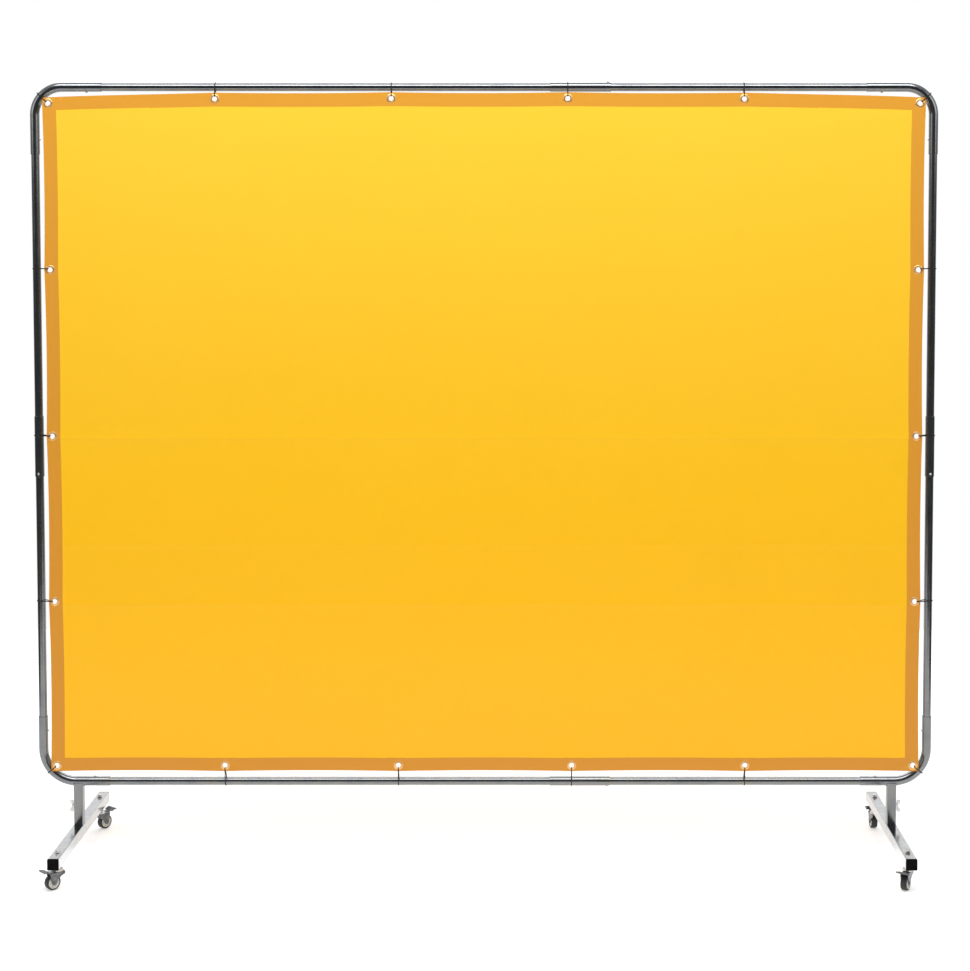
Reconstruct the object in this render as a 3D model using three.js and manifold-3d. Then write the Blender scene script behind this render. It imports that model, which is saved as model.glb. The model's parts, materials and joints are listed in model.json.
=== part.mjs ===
// Welding curtain screen on casters.
//
// A rectangular frame of round steel tube stands on two square foot rails with four
// braked swivel casters. A vinyl curtain with eyelets round its edge is laced to the
// front of the frame with cable ties. Millimetres, X across the screen, -Y its front,
// +Z up, with the origin on the floor under the middle of the frame.

import * as THREE from 'three';
import { mergeVertices } from 'three/addons/utils/BufferGeometryUtils.js';
import Module from 'manifold-3d';

const wasm = await Module();
wasm.setup();

// ---------------------------------------------------------------- driving dimensions

// Frame, measured between tube centrelines.
const frameWidth = 2415;
const frameHeight = 1890;
const railDiameter = 22;
const tubeWall = 1.2;
const slidingFit = 0.3;          // radial clearance of a tube inside a sleeve
const topBendRadius = 74;
const bottomBendRadius = 90;
const cornerLeg = 180;           // from the crossing of the centrelines to the leg's mouth
const insertDepth = 70;          // how far a straight tube goes into a corner leg
const cornerButtonInset = 40;    // from the mouth of a corner leg to its snap button

// Sleeves that join the long and short tubes part-way along each side.
const sleeveLength = 164;
const railSleeveOffset = 259;    // right of the middle
const postSleeveDrop = 24;       // below the middle
const sleeveButtonInset = 8;     // from the mouth of a sleeve to its snap button

// Snap buttons.
const buttonRadius = 3.2;
const buttonHeight = 3;          // stands out of the outer tube
const buttonFlange = 4.4;
const buttonFlangeThickness = 1.2;

// Curtain and its lacing.
const curtainThickness = 1;
const curtainSideGap = 23.5;     // from a side post's centreline to the curtain's edge
const curtainTopGap = 19;        // from the top rail's centreline
const curtainBottomGap = 31;     // from the bottom rail's centreline
const eyeletInset = 16;
const eyeletBore = 6.5;
const eyeletPitch = 473;
const topEyeletShift = -12;      // the inner top eyelets sit a little to the left
const sideEyelets = 3;
const tieWidth = 3.6;
const tieThickness = 1.2;
const tieSlack = 0.4;
const tieFold = 2.6;             // inside radius where a tie folds through an eyelet
const tieInHole = 0.5;           // between a tie and the edge of the hole it pulls on
const tieHead = 5.4;
const tieTail = 8;

// Legs and foot rails.
const postInset = 95.5;          // from a side centreline to the middle of its leg
const postTube = 25;
const postWall = 1.5;
const postHeight = 119;          // foot rail top to bottom rail centreline
const spigotWall = 2;
const spigotHeadroom = 16;       // above the spigot, inside the leg
const footLength = 560;
const footTube = 30;
const footWall = 2;
const capThickness = 3;
const capPlugLength = 12;
const wingScrewHeight = 50;      // above the foot rail
const wingScrewRadius = 4;
const wingSpan = 34;
const wingThickness = 3;
const wingTip = 5;               // radius of a wing's rounded end
const wingRise = 9;              // from the leg to the middle of that end
const wingHub = 7;               // the screw's round boss, along its axis

// Casters.
const casterInset = 50;          // from a foot rail's end to the caster's stem
const wheelRadius = 20;
const wheelWidth = 17;
const wheelTrail = 16;
const axleRadius = 3;
const hubRadius = 6;
const forkSheet = 1.8;
const crownFront = 15;           // from the stem to the front of the fork's crown
const crownBack = 12;
const rivetHead = 1.5;           // stands out of the fork, and round the rivet
const crownClearance = 5.2;      // above the tyre
const raceRadius = 14;
const raceHeight = 7;
const collarRadius = 8;
const collarHeight = 9.4;
const stemRadius = 4;
const capNutRadius = 7;
const capNutHeight = 8.5;
const brakePinRadius = 2;
const brakePinBehind = 7;        // behind the wheel's axle
const brakePinAboveTyre = 4.5;
const pedalWidth = 34;
const pedalReach = 23;
const pedalTread = [8.2, 10];    // the tread's underside and top, above its pin
const pedalLip = 4;              // the flat part at the tread's end

// Which way each wheel trails, in degrees about its stem.
const casterYaw = { front_left: -47, front_right: -30, rear_left: 140, rear_right: 185 };

// Clearance between pieces that touch or run on each other.
const gap = 0.3;

// Facets round a tube, a small pin and a wheel.
const tubeSides = 16;
const pinSides = 10;
const wheelSides = 20;
const bendSteps = 7;
const tieSides = 16;

// ---------------------------------------------------------------- worked-out dimensions

const railRadius = railDiameter / 2;
const railBore = railRadius - tubeWall;
const sleeveBore = railRadius + slidingFit;
const sleeveRadius = sleeveBore + tubeWall;
const insertEnd = cornerLeg - insertDepth;      // where a straight tube ends, from the corner
const cornerButton = cornerLeg - cornerButtonInset;
const buttonHole = buttonRadius + gap;

const hubHalf = wheelWidth / 2 + 0.4;
const forkInside = hubHalf + gap;
const forkOutside = forkInside + forkSheet;
const crownBottom = 2 * wheelRadius + crownClearance;
const crownTop = crownBottom + forkSheet;
const raceBottom = crownTop + gap;
const collarBottom = raceBottom + raceHeight;
const footBottom = collarBottom + collarHeight + gap;
const footTop = footBottom + footTube;
const bottomRail = footTop + postHeight;
const topRail = bottomRail + frameHeight;
const midHeight = (bottomRail + topRail) / 2;

const curtainWidth = frameWidth - 2 * curtainSideGap;
const curtainTop = topRail - curtainTopGap;
const curtainBottom = bottomRail + curtainBottomGap;
const curtainPlane = -(sleeveRadius + gap + curtainThickness / 2);
const eyeletX = curtainWidth / 2 - eyeletInset;
const topEyelet = curtainTop - eyeletInset;
const bottomEyelet = curtainBottom + eyeletInset;

const half = frameWidth / 2;
const postX = half - postInset;
const postBore = postTube - 2 * postWall;
const spigotTube = postBore - 2 * gap;
const casterY = footLength / 2 - casterInset;

// ---------------------------------------------------------------- finishes

const finish = (color, roughness, metalness) => () =>
  new THREE.MeshStandardMaterial({ color, roughness, metalness });

const platedTube = finish(0x8e9194, 0.22, 1);
const zincSteel = finish(0xb9bcc0, 0.35, 1);
const galvanisedSteel = finish(0xb6b8ba, 0.45, 0.6);
const yellowVinyl = finish(0xf5b52a, 0.35, 0);
const blackPlastic = finish(0x141414, 0.5, 0);
const greyRubber = finish(0x5f6163, 0.7, 0);

// ---------------------------------------------------------------- solids

// A closed three.js geometry as a solid that can be joined and cut.
function solid(geometry) {
  const bare = geometry.index ? geometry.toNonIndexed() : geometry.clone();
  bare.deleteAttribute('normal');
  bare.deleteAttribute('uv');
  const merged = mergeVertices(bare, 1e-4);
  const vertProperties = Float32Array.from(merged.attributes.position.array);
  const triVerts = Uint32Array.from(merged.index.array);
  return new wasm.Manifold(new wasm.Mesh({ numProp: 3, vertProperties, triVerts }));
}

function geometryOf(body) {
  const { vertProperties, triVerts } = body.getMesh();
  const geometry = new THREE.BufferGeometry();
  geometry.setAttribute('position', new THREE.BufferAttribute(vertProperties, 3));
  geometry.setIndex(new THREE.BufferAttribute(triVerts, 1));
  geometry.computeVertexNormals();
  return geometry;
}

const joined = (bodies) => bodies.reduce((whole, body) => whole.add(body));
const cut = (body, tools) => tools.reduce((left, tool) => left.subtract(tool), body);

// A profile of [radius, height] pairs turned about the Z axis.
function turned(profile, sides) {
  const points = profile.map(([radius, height]) => new THREE.Vector2(radius, height));
  return new THREE.LatheGeometry(points, sides).rotateX(Math.PI / 2);
}

// A plain pin along Z.
const pin = (radius, from, to, sides = pinSides) =>
  turned([[0, from], [radius, from], [radius, to], [0, to]], sides);

const box = (width, depth, height) => new THREE.BoxGeometry(width, depth, height);

// A bore's facets are drawn outside its true circle, so that what fits it stays clear.
const boreRadius = (radius, sides) => radius / Math.cos(Math.PI / sides);

// A straight round tube along Z, from z = 0.
function straightTube(length) {
  const inner = boreRadius(railBore, tubeSides);
  return turned([
    [inner, 0], [railRadius, 0], [railRadius, length], [inner, length], [inner, 0],
  ], tubeSides);
}

// A tube whose far end carries a sleeve, fixed over it by half its length.
function sleevedTube(length) {
  const inner = boreRadius(railBore, tubeSides);
  const mouth = boreRadius(sleeveBore, tubeSides);
  const overlap = sleeveLength / 2;
  return turned([
    [inner, 0],
    [railRadius, 0],
    [railRadius, length - overlap],
    [sleeveRadius, length - overlap],
    [sleeveRadius, length + overlap],
    [mouth, length + overlap],
    [mouth, length],
    [inner, length],
    [inner, 0],
  ], tubeSides);
}

// Holes for snap buttons, each through one wall of a tube along Z.
function drilled(tube, holes) {
  const cutters = holes.map(({ height, angle }) => {
    const drill = pin(boreRadius(buttonHole, pinSides), 0, sleeveRadius * 2);
    drill.rotateY(Math.PI / 2).rotateZ(angle).translate(0, 0, height);
    return solid(drill);
  });
  return geometryOf(cut(solid(tube), cutters));
}

// The centreline of a corner piece: a leg in from +X, a quarter bend, a leg down to -Z.
// Its first and last steps are the straight legs, and the steps between them the bend.
class ElbowCurve extends THREE.Curve {
  constructor(leg, bendRadius, steps) {
    super();
    Object.assign(this, { leg, bendRadius, steps });
  }

  getPoint(t, target = new THREE.Vector3()) {
    const { leg, bendRadius: radius, steps } = this;
    const step = t * (steps + 2);
    if (step <= 1) return target.set(leg + (radius - leg) * step, 0, 0);
    if (step >= steps + 1) return target.set(0, 0, -radius - (leg - radius) * (step - steps - 1));
    const angle = (Math.PI / 2) * (1 + (step - 1) / steps);
    return target.set(radius * (1 + Math.cos(angle)), 0, radius * (Math.sin(angle) - 1));
  }

  getPointAt(u, target) {
    return this.getPoint(u, target);
  }

  getTangentAt(u, target = new THREE.Vector3()) {
    const turn = THREE.MathUtils.clamp((u * (this.steps + 2) - 1) / this.steps, 0, 1);
    const angle = (Math.PI / 2) * turn;
    return target.set(-Math.cos(angle), 0, -Math.sin(angle));
  }
}

function elbow(radius, bendRadius, overrun) {
  const section = new THREE.Shape();
  section.absarc(0, 0, radius, 0, 2 * Math.PI);
  const extrudePath = new ElbowCurve(cornerLeg + overrun, bendRadius, bendSteps);
  const options = { steps: bendSteps + 2, curveSegments: tubeSides / 2, bevelEnabled: false, extrudePath };
  return solid(new THREE.ExtrudeGeometry(section, options));
}

// A cylinder across the frame's tubes, for a snap button's hole in a corner leg.
function cornerDrill(onHorizontalLeg) {
  const drill = pin(boreRadius(buttonHole, pinSides), 0, sleeveRadius * 2);
  if (onHorizontalLeg) return solid(drill.rotateX(Math.PI).translate(cornerButton, 0, 0));
  return solid(drill.rotateY(Math.PI / 2).translate(0, 0, -cornerButton));
}

// The outline of a square tube, whose corners are bent and not sharp.
function squareSection(size, corner) {
  const side = size / 2;
  const flat = side - corner;
  const shape = new THREE.Shape();
  shape.moveTo(flat, -side);
  shape.absarc(flat, -flat, corner, -Math.PI / 2, 0);
  shape.absarc(flat, flat, corner, 0, Math.PI / 2);
  shape.absarc(-flat, flat, corner, Math.PI / 2, Math.PI);
  shape.absarc(-flat, -flat, corner, Math.PI, Math.PI * 1.5);
  return shape;
}

// A solid square bar along Z, from z = 0.
function squareBar(size, corner, length) {
  const options = { depth: length, curveSegments: 1, bevelEnabled: false };
  return new THREE.ExtrudeGeometry(squareSection(size, corner), options);
}

const squareTube = (size, wall, length) =>
  cut(solid(squareBar(size, wall, length)), [
    solid(squareBar(size - 2 * wall, wall / 2, length + 2).translate(0, 0, -1)),
  ]);

// ---------------------------------------------------------------- frame pieces

// A corner piece, with its legs towards +X and -Z. A bottom corner also has the leg
// that the screen stands on, coped to the tube and welded, going up here and down when
// the corner is turned over.
function cornerPiece(bendRadius, withPost) {
  const bodies = [elbow(sleeveRadius, bendRadius, 0)];
  const cutters = [
    elbow(boreRadius(sleeveBore, tubeSides), bendRadius, 1),
    cornerDrill(true),
    cornerDrill(false),
  ];
  if (withPost) {
    bodies.push(squareTube(postTube, postWall, postHeight - gap).translate([postInset, 0, 0]));
    const screwHole = pin(boreRadius(wingScrewRadius + gap, pinSides), 0, postTube);
    screwHole.rotateY(-Math.PI / 2).translate(postInset, 0, postHeight - wingScrewHeight);
    cutters.push(solid(screwHole));
  }
  return geometryOf(cut(joined(bodies), cutters));
}

// A snap button: a domed pin with a flange that keeps it inside the tubes. Its face is
// along +Z, and z = 0 is on the tubes' centreline.
function snapButton() {
  const face = sleeveRadius + buttonHeight;
  const seat = Math.sqrt(railBore ** 2 - buttonFlange ** 2) - gap;
  return turned([
    [0, seat - buttonFlangeThickness],
    [buttonFlange, seat - buttonFlangeThickness],
    [buttonFlange, seat],
    [buttonRadius, seat],
    [buttonRadius, face - 1.2],
    [buttonRadius * 0.6, face - 0.2],
    [0, face],
  ], pinSides);
}

// ---------------------------------------------------------------- curtain and ties

function eyelets() {
  const places = [];
  const columns = [-1.5, -0.5, 0.5, 1.5].map((step) => step * eyeletPitch);
  for (const x of [-eyeletX, ...columns.map((column) => column + topEyeletShift), eyeletX]) {
    places.push([x, topEyelet]);
  }
  for (const x of [-eyeletX, ...columns, eyeletX]) {
    places.push([x, bottomEyelet]);
  }
  const sidePitch = (topEyelet - bottomEyelet) / (sideEyelets + 1);
  for (let row = 1; row <= sideEyelets; row += 1) {
    places.push([-eyeletX, bottomEyelet + row * sidePitch], [eyeletX, bottomEyelet + row * sidePitch]);
  }
  return places;
}

// The curtain, a flat sheet with a hole for each eyelet.
function curtainSheet() {
  const sheet = new THREE.Shape();
  sheet.moveTo(-curtainWidth / 2, curtainBottom);
  sheet.lineTo(curtainWidth / 2, curtainBottom);
  sheet.lineTo(curtainWidth / 2, curtainTop);
  sheet.lineTo(-curtainWidth / 2, curtainTop);
  for (const [x, z] of eyelets()) {
    const hole = new THREE.Path();
    hole.absarc(x, z, boreRadius(eyeletBore, pinSides), 0, 2 * Math.PI, true);
    sheet.holes.push(hole);
  }
  const options = { depth: curtainThickness, curveSegments: pinSides / 2, bevelEnabled: false };
  const geometry = new THREE.ExtrudeGeometry(sheet, options);
  return geometry.rotateX(Math.PI / 2).translate(0, curtainThickness / 2, 0);
}

// The outline of a belt round two circles.
function beltOutline(first, second) {
  const apart = second.centre.clone().sub(first.centre);
  const heading = Math.atan2(apart.y, apart.x);
  const spread = Math.acos((first.radius - second.radius) / apart.length());
  const arc = ({ centre, radius }, from, sweep) => {
    const steps = Math.ceil((sweep * tieSides) / (2 * Math.PI));
    return Array.from({ length: steps + 1 }, (unused, step) => {
      const angle = from + (sweep * step) / steps;
      return new THREE.Vector2(Math.cos(angle), Math.sin(angle)).multiplyScalar(radius).add(centre);
    });
  };
  return [
    ...arc(first, heading + spread, 2 * (Math.PI - spread)),
    ...arc(second, heading - spread, 2 * spread),
  ];
}

// A closed cable tie round a tube and through an eyelet. The tube's centreline is at the
// origin, along Z, and the eyelet lies to -X at the given distance. The head is on the
// tie's outside, at the given angle from +X towards the back of the screen.
function cableTie(clearRadius, eyeletDistance, headAngle) {
  const lip = eyeletDistance - eyeletBore;
  const foldX = tieFold - lip - tieInHole;
  const belt = (offset) => beltOutline(
    { centre: new THREE.Vector2(0, 0), radius: clearRadius + offset },
    { centre: new THREE.Vector2(foldX, curtainPlane), radius: tieFold + offset },
  );
  const strap = new THREE.Shape(belt(tieThickness));
  strap.holes.push(new THREE.Path(belt(0)));
  const options = { depth: tieWidth, bevelEnabled: false };
  const loop = new THREE.ExtrudeGeometry(strap, options).translate(0, 0, -tieWidth / 2);
  const headX = clearRadius + tieThickness / 3 + tieHead / 2;
  const head = box(tieHead, tieHead, tieHead).translate(headX, 0, 0);
  const tail = box(tieTail, tieThickness, tieWidth);
  tail.translate(headX + (tieHead + tieTail) / 2 - 0.5, 0, 0);
  const buckle = solid(head).add(solid(tail)).rotate([0, 0, headAngle]);
  return geometryOf(solid(loop).add(buckle));
}

// ---------------------------------------------------------------- feet

// A foot rail with its welded spigot, along Y, with z = 0 at the floor.
function footRail() {
  const tubeLength = footLength - 2 * (capThickness + gap);
  const rail = squareTube(footTube, footWall, tubeLength);
  const lying = rail.rotate([-90, 0, 0]).translate([0, -tubeLength / 2, footBottom + footTube / 2]);
  const spigotHeight = postHeight - sleeveRadius - spigotHeadroom;
  const spigot = squareTube(spigotTube, spigotWall, spigotHeight + footWall / 2);
  const standing = spigot.translate([0, 0, footTop - footWall / 2]);
  const holes = [-casterY, casterY].map((y) => {
    const drill = pin(boreRadius(stemRadius + gap, pinSides), footBottom - 1, footTop + 1);
    return solid(drill.translate(0, y, 0));
  });
  return geometryOf(cut(lying.add(standing), holes));
}

// A push-in end cap, its face towards -Y at y = 0.
function footCap() {
  const face = squareBar(footTube, footWall, capThickness).rotateX(-Math.PI / 2);
  const plugSize = footTube - 2 * footWall - 2 * gap;
  const plug = squareBar(plugSize, footWall / 2, capPlugLength + 1).rotateX(-Math.PI / 2);
  return geometryOf(solid(face).add(solid(plug.translate(0, capThickness - 1, 0))));
}

// A wing screw that clamps the leg on its spigot. Its wings are towards +Z, and z = 0 is
// on the leg's centreline.
function wingScrew() {
  const tip = spigotTube / 2 + gap;
  const shoulder = postTube / 2 + gap;
  const shank = turned([
    [0, tip],
    [wingScrewRadius, tip],
    [wingScrewRadius, shoulder],
    [wingScrewRadius + 3, shoulder],
    [wingScrewRadius + 2, shoulder + wingHub],
    [0, shoulder + wingHub],
  ], pinSides);
  const wing = new THREE.Shape();
  const reach = wingSpan / 2;
  wing.moveTo(-2, 1);
  wing.lineTo(reach - wingTip - 1, wingRise - wingTip);
  wing.absarc(reach - wingTip, wingRise, wingTip, -Math.PI / 2, Math.PI * 0.75);
  wing.lineTo(-2, 6);
  const options = { depth: wingThickness, curveSegments: 6, bevelEnabled: false };
  const blade = new THREE.ExtrudeGeometry(wing, options).translate(0, 0, -wingThickness / 2);
  blade.rotateX(Math.PI / 2).translate(0, 0, shoulder);
  const opposite = blade.clone().rotateZ(Math.PI);
  return geometryOf(joined([solid(shank), solid(blade), solid(opposite)]));
}

// ---------------------------------------------------------------- casters

// In a caster's own frame the stem is the Z axis, z = 0 is the floor, the wheel trails
// towards -Y and its axle is along X.
const axlePlace = [0, -wheelTrail, wheelRadius];
const brakePin = {
  y: -wheelTrail - brakePinBehind,
  z: wheelRadius + Math.sqrt((wheelRadius + brakePinAboveTyre + 1) ** 2 - brakePinBehind ** 2),
};

// The stem, with its riveted foot, ball race, collar and the cap nut above the rail.
function casterStem() {
  const rivetRadius = stemRadius + 2;
  const nutBottom = footTop + gap;
  return turned([
    [0, crownBottom - gap - 2.4],
    [rivetRadius, crownBottom - gap - 2.4],
    [rivetRadius, crownBottom - gap],
    [stemRadius, crownBottom - gap],
    [stemRadius, raceBottom],
    [raceRadius, raceBottom],
    [raceRadius, raceBottom + raceHeight * 0.6],
    [raceRadius - 3, collarBottom],
    [collarRadius, collarBottom],
    [collarRadius, footBottom - gap],
    [stemRadius, footBottom - gap],
    [stemRadius, nutBottom],
    [capNutRadius, nutBottom],
    [capNutRadius, nutBottom + capNutHeight * 0.5],
    [capNutRadius * 0.7, nutBottom + capNutHeight * 0.85],
    [0, nutBottom + capNutHeight],
  ], pinSides);
}

// The fork: a pressed crown, two leaf-shaped legs, the riveted axle and the brake's pin.
function casterFork() {
  const pinReach = 4;
  const frontShoulder = crownBottom - 8;
  const backShoulder = crownBottom - 6;
  const leaf = new THREE.Shape();
  const [, axleY, axleZ] = axlePlace;
  const backEdge = brakePin.y - pinReach;
  leaf.moveTo(crownFront, crownTop);
  leaf.lineTo(backEdge, crownTop);
  leaf.lineTo(backEdge, backShoulder);
  leaf.absarc(axleY, axleZ, hubRadius, Math.PI * 1.05, Math.PI * 1.9);
  leaf.lineTo(crownFront, frontShoulder);
  const options = { depth: forkSheet, curveSegments: 6, bevelEnabled: false };
  const standing = (x) => {
    const leg = new THREE.ExtrudeGeometry(leaf, options);
    return leg.rotateX(Math.PI / 2).rotateZ(Math.PI / 2).translate(x, 0, 0);
  };
  const crownLength = crownFront + crownBack;
  const crown = box(2 * forkOutside, crownLength, forkSheet);
  crown.translate(0, crownFront - crownLength / 2, crownTop - forkSheet / 2);
  const rivet = (radius, head, y, z) => turned([
    [0, -forkOutside - rivetHead],
    [head, -forkOutside - rivetHead],
    [head, -forkOutside + 0.5],
    [radius, -forkOutside + 0.5],
    [radius, forkOutside - 0.5],
    [head, forkOutside - 0.5],
    [head, forkOutside + rivetHead],
    [0, forkOutside + rivetHead],
  ], pinSides).rotateY(Math.PI / 2).translate(0, y, z);
  const hole = pin(boreRadius(stemRadius + gap, pinSides), crownBottom - 1, crownTop + 1);
  const whole = joined([
    solid(standing(-forkOutside)),
    solid(standing(forkInside)),
    solid(crown),
    solid(rivet(axleRadius, axleRadius + rivetHead, axleY, axleZ)),
    solid(rivet(brakePinRadius, brakePinRadius + 1, brakePin.y, brakePin.z)),
  ]);
  return geometryOf(cut(whole, [solid(hole)]));
}

// The wheel, turned about its axle, which is the X axis here.
function casterWheel() {
  const bore = boreRadius(axleRadius + gap, pinSides);
  const rim = wheelRadius * 0.72;
  const web = wheelWidth * 0.28;
  const tyreHalf = wheelWidth / 2;
  const profile = [
    [bore, -hubHalf],
    [hubRadius, -hubHalf],
    [hubRadius, -web],
    [rim, -web],
    [rim, -tyreHalf],
    [wheelRadius - 2.2, -tyreHalf],
    [wheelRadius, -tyreHalf * 0.55],
    [wheelRadius, tyreHalf * 0.55],
    [wheelRadius - 2.2, tyreHalf],
    [rim, tyreHalf],
    [rim, web],
    [hubRadius, web],
    [hubRadius, hubHalf],
    [bore, hubHalf],
    [bore, -hubHalf],
  ];
  return turned(profile, wheelSides).rotateY(Math.PI / 2);
}

// The brake pedal, about its pin, which is the X axis here. Trodden down, its shoe
// comes onto the tyre.
function brakePedal() {
  const sleeve = brakePinRadius + gap + 1.4;
  const shoe = brakePinAboveTyre + 0.8;
  const toCentre = Math.atan2(wheelRadius - brakePin.z, brakePinBehind);
  const shoeAngle = toCentre - THREE.MathUtils.degToRad(25);
  const lever = new THREE.Shape();
  lever.absarc(0, 0, sleeve, Math.PI * 0.15, Math.PI * 0.6);
  lever.lineTo(-sleeve - 4, 5.4);
  lever.lineTo(-sleeve - 4, 3.4);
  lever.lineTo(-sleeve, -0.5);
  lever.lineTo(shoe * Math.cos(shoeAngle), shoe * Math.sin(shoeAngle));
  lever.lineTo(sleeve * 0.7, -sleeve * 0.7);
  const [treadBottom, treadTop] = pedalTread;
  const tread = new THREE.Shape();
  tread.moveTo(-sleeve - 3.5, 5.3);
  tread.lineTo(-sleeve - 3.5, 3.5);
  tread.lineTo(-pedalReach + pedalLip, treadBottom);
  tread.lineTo(-pedalReach, treadBottom);
  tread.lineTo(-pedalReach, treadTop);
  tread.lineTo(-pedalReach + pedalLip, treadTop);
  const plate = (shape, width) => {
    const options = { depth: width, curveSegments: 5, bevelEnabled: false };
    const geometry = new THREE.ExtrudeGeometry(shape, options).translate(0, 0, -width / 2);
    return solid(geometry.rotateX(Math.PI / 2).rotateZ(Math.PI / 2));
  };
  const bore = pin(boreRadius(brakePinRadius + gap, pinSides), -pedalWidth, pedalWidth);
  const whole = joined([plate(lever, 2 * (forkInside - gap)), plate(tread, pedalWidth)]);
  return geometryOf(cut(whole, [solid(bore.rotateY(Math.PI / 2))]));
}

// ---------------------------------------------------------------- assembly

const screen = new THREE.Group();

function place(parent, name, geometry, material, position, rotation = [0, 0, 0]) {
  const mesh = new THREE.Mesh(geometry, material());
  mesh.name = name;
  mesh.position.set(...position);
  mesh.rotation.set(...rotation);
  parent.add(mesh);
}

const right = Math.PI / 2;

// Corners.
const topCorner = cornerPiece(topBendRadius, false);
const bottomCorner = cornerPiece(bottomBendRadius, true);
place(screen, 'top_left_corner', topCorner, platedTube, [-half, 0, topRail]);
place(screen, 'top_right_corner', topCorner, platedTube, [half, 0, topRail], [0, 0, Math.PI]);
place(screen, 'bottom_left_corner', bottomCorner, platedTube, [-half, 0, bottomRail], [Math.PI, 0, 0]);
place(screen, 'bottom_right_corner', bottomCorner, platedTube, [half, 0, bottomRail], [0, Math.PI, 0]);

// Rails, which lie along X. A tube's own +X side is underneath once it lies down.
const underneath = 0;
const above = Math.PI;
const longRail = half + railSleeveOffset - insertEnd;
const shortRail = half - railSleeveOffset - insertEnd - gap;
const sleeveMouth = sleeveLength / 2 - sleeveButtonInset;
for (const [name, height, inward, outward] of [
  ['top', topRail, underneath, above],
  ['bottom', bottomRail, above, underneath],
]) {
  const long = drilled(sleevedTube(longRail), [
    { height: cornerButton - insertEnd, angle: inward },
    { height: longRail + sleeveMouth, angle: outward },
  ]);
  const short = drilled(straightTube(shortRail), [
    { height: sleeveMouth - gap, angle: outward },
    { height: shortRail - (cornerButton - insertEnd), angle: inward },
  ]);
  place(screen, `${name}_long_rail`, long, platedTube, [insertEnd - half, 0, height], [0, right, 0]);
  place(screen, `${name}_short_rail`, short, platedTube, [railSleeveOffset + gap, 0, height], [0, right, 0]);
}

// Posts, which stand along Z. The upper one carries the sleeve at its lower end, so it is
// turned over.
const sleeveHeight = midHeight - postSleeveDrop;
const upperPost = topRail - insertEnd - sleeveHeight;
const lowerPost = sleeveHeight - bottomRail - insertEnd - gap;
for (const [name, x, inward] of [['left', -half, 0], ['right', half, Math.PI]]) {
  const upper = drilled(sleevedTube(upperPost), [
    { height: cornerButton - insertEnd, angle: inward },
    { height: upperPost + sleeveMouth, angle: right },
  ]);
  const lower = drilled(straightTube(lowerPost), [
    { height: cornerButton - insertEnd, angle: inward },
    { height: lowerPost + gap - sleeveMouth, angle: -right },
  ]);
  place(screen, `${name}_upper_post`, upper, platedTube, [x, 0, topRail - insertEnd], [Math.PI, 0, 0]);
  place(screen, `${name}_lower_post`, lower, platedTube, [x, 0, bottomRail + insertEnd]);
}

// Snap buttons. Those at the corners face into the frame.
const button = snapButton();
const facing = {
  right: [0, right, 0], left: [0, -right, 0], up: [0, 0, 0], down: [Math.PI, 0, 0], front: [right, 0, 0],
};
const sleeveButtonX = railSleeveOffset + sleeveMouth;
const sleeveButtonZ = sleeveHeight - sleeveMouth;
for (const [spot, x, z, direction] of [
  ['top_left_rail', cornerButton - half, topRail, 'down'],
  ['top_right_rail', half - cornerButton, topRail, 'down'],
  ['bottom_left_rail', cornerButton - half, bottomRail, 'up'],
  ['bottom_right_rail', half - cornerButton, bottomRail, 'up'],
  ['top_left_post', -half, topRail - cornerButton, 'right'],
  ['top_right_post', half, topRail - cornerButton, 'left'],
  ['bottom_left_post', -half, bottomRail + cornerButton, 'right'],
  ['bottom_right_post', half, bottomRail + cornerButton, 'left'],
  ['top_sleeve', sleeveButtonX, topRail, 'up'],
  ['bottom_sleeve', sleeveButtonX, bottomRail, 'down'],
  ['left_sleeve', -half, sleeveButtonZ, 'front'],
  ['right_sleeve', half, sleeveButtonZ, 'front'],
]) {
  place(screen, `${spot}_snap_button`, button, zincSteel, [x, 0, z], facing[direction]);
}

// Curtain.
place(screen, 'curtain', curtainSheet(), yellowVinyl, [0, curtainPlane, 0]);

// Cable ties. Each goes round the tube nearest to its eyelet, or over a sleeve there.
const roundTube = (along, sleeveMiddle) => {
  const onSleeve = Math.abs(along - sleeveMiddle) < (sleeveLength + tieWidth) / 2;
  return boreRadius((onSleeve ? sleeveRadius : railRadius) + tieSlack, tieSides);
};
const innerEyelet = 0.5 * eyeletPitch;
for (const [name, x, z, angle] of [
  ['top_inner_left_tie', topEyeletShift - innerEyelet, topRail, 90],
  ['top_inner_right_tie', topEyeletShift + innerEyelet, topRail, 90],
  ['bottom_inner_left_tie', -innerEyelet, bottomRail, -90],
  ['bottom_inner_right_tie', innerEyelet, bottomRail, -90],
]) {
  const distance = angle > 0 ? topRail - topEyelet : bottomEyelet - bottomRail;
  const tie = cableTie(roundTube(x, railSleeveOffset), distance, 0);
  place(screen, name, tie, blackPlastic, [x, 0, z], [0, -THREE.MathUtils.degToRad(angle), 0]);
}
const middleEyelet = (topEyelet + bottomEyelet) / 2;
for (const [name, x, turn] of [['left_middle_tie', -half, Math.PI], ['right_middle_tie', half, 0]]) {
  const tie = cableTie(roundTube(middleEyelet, sleeveHeight), half - eyeletX, 90);
  place(screen, name, tie, blackPlastic, [x, 0, middleEyelet], [0, turn, 0]);
}

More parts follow.
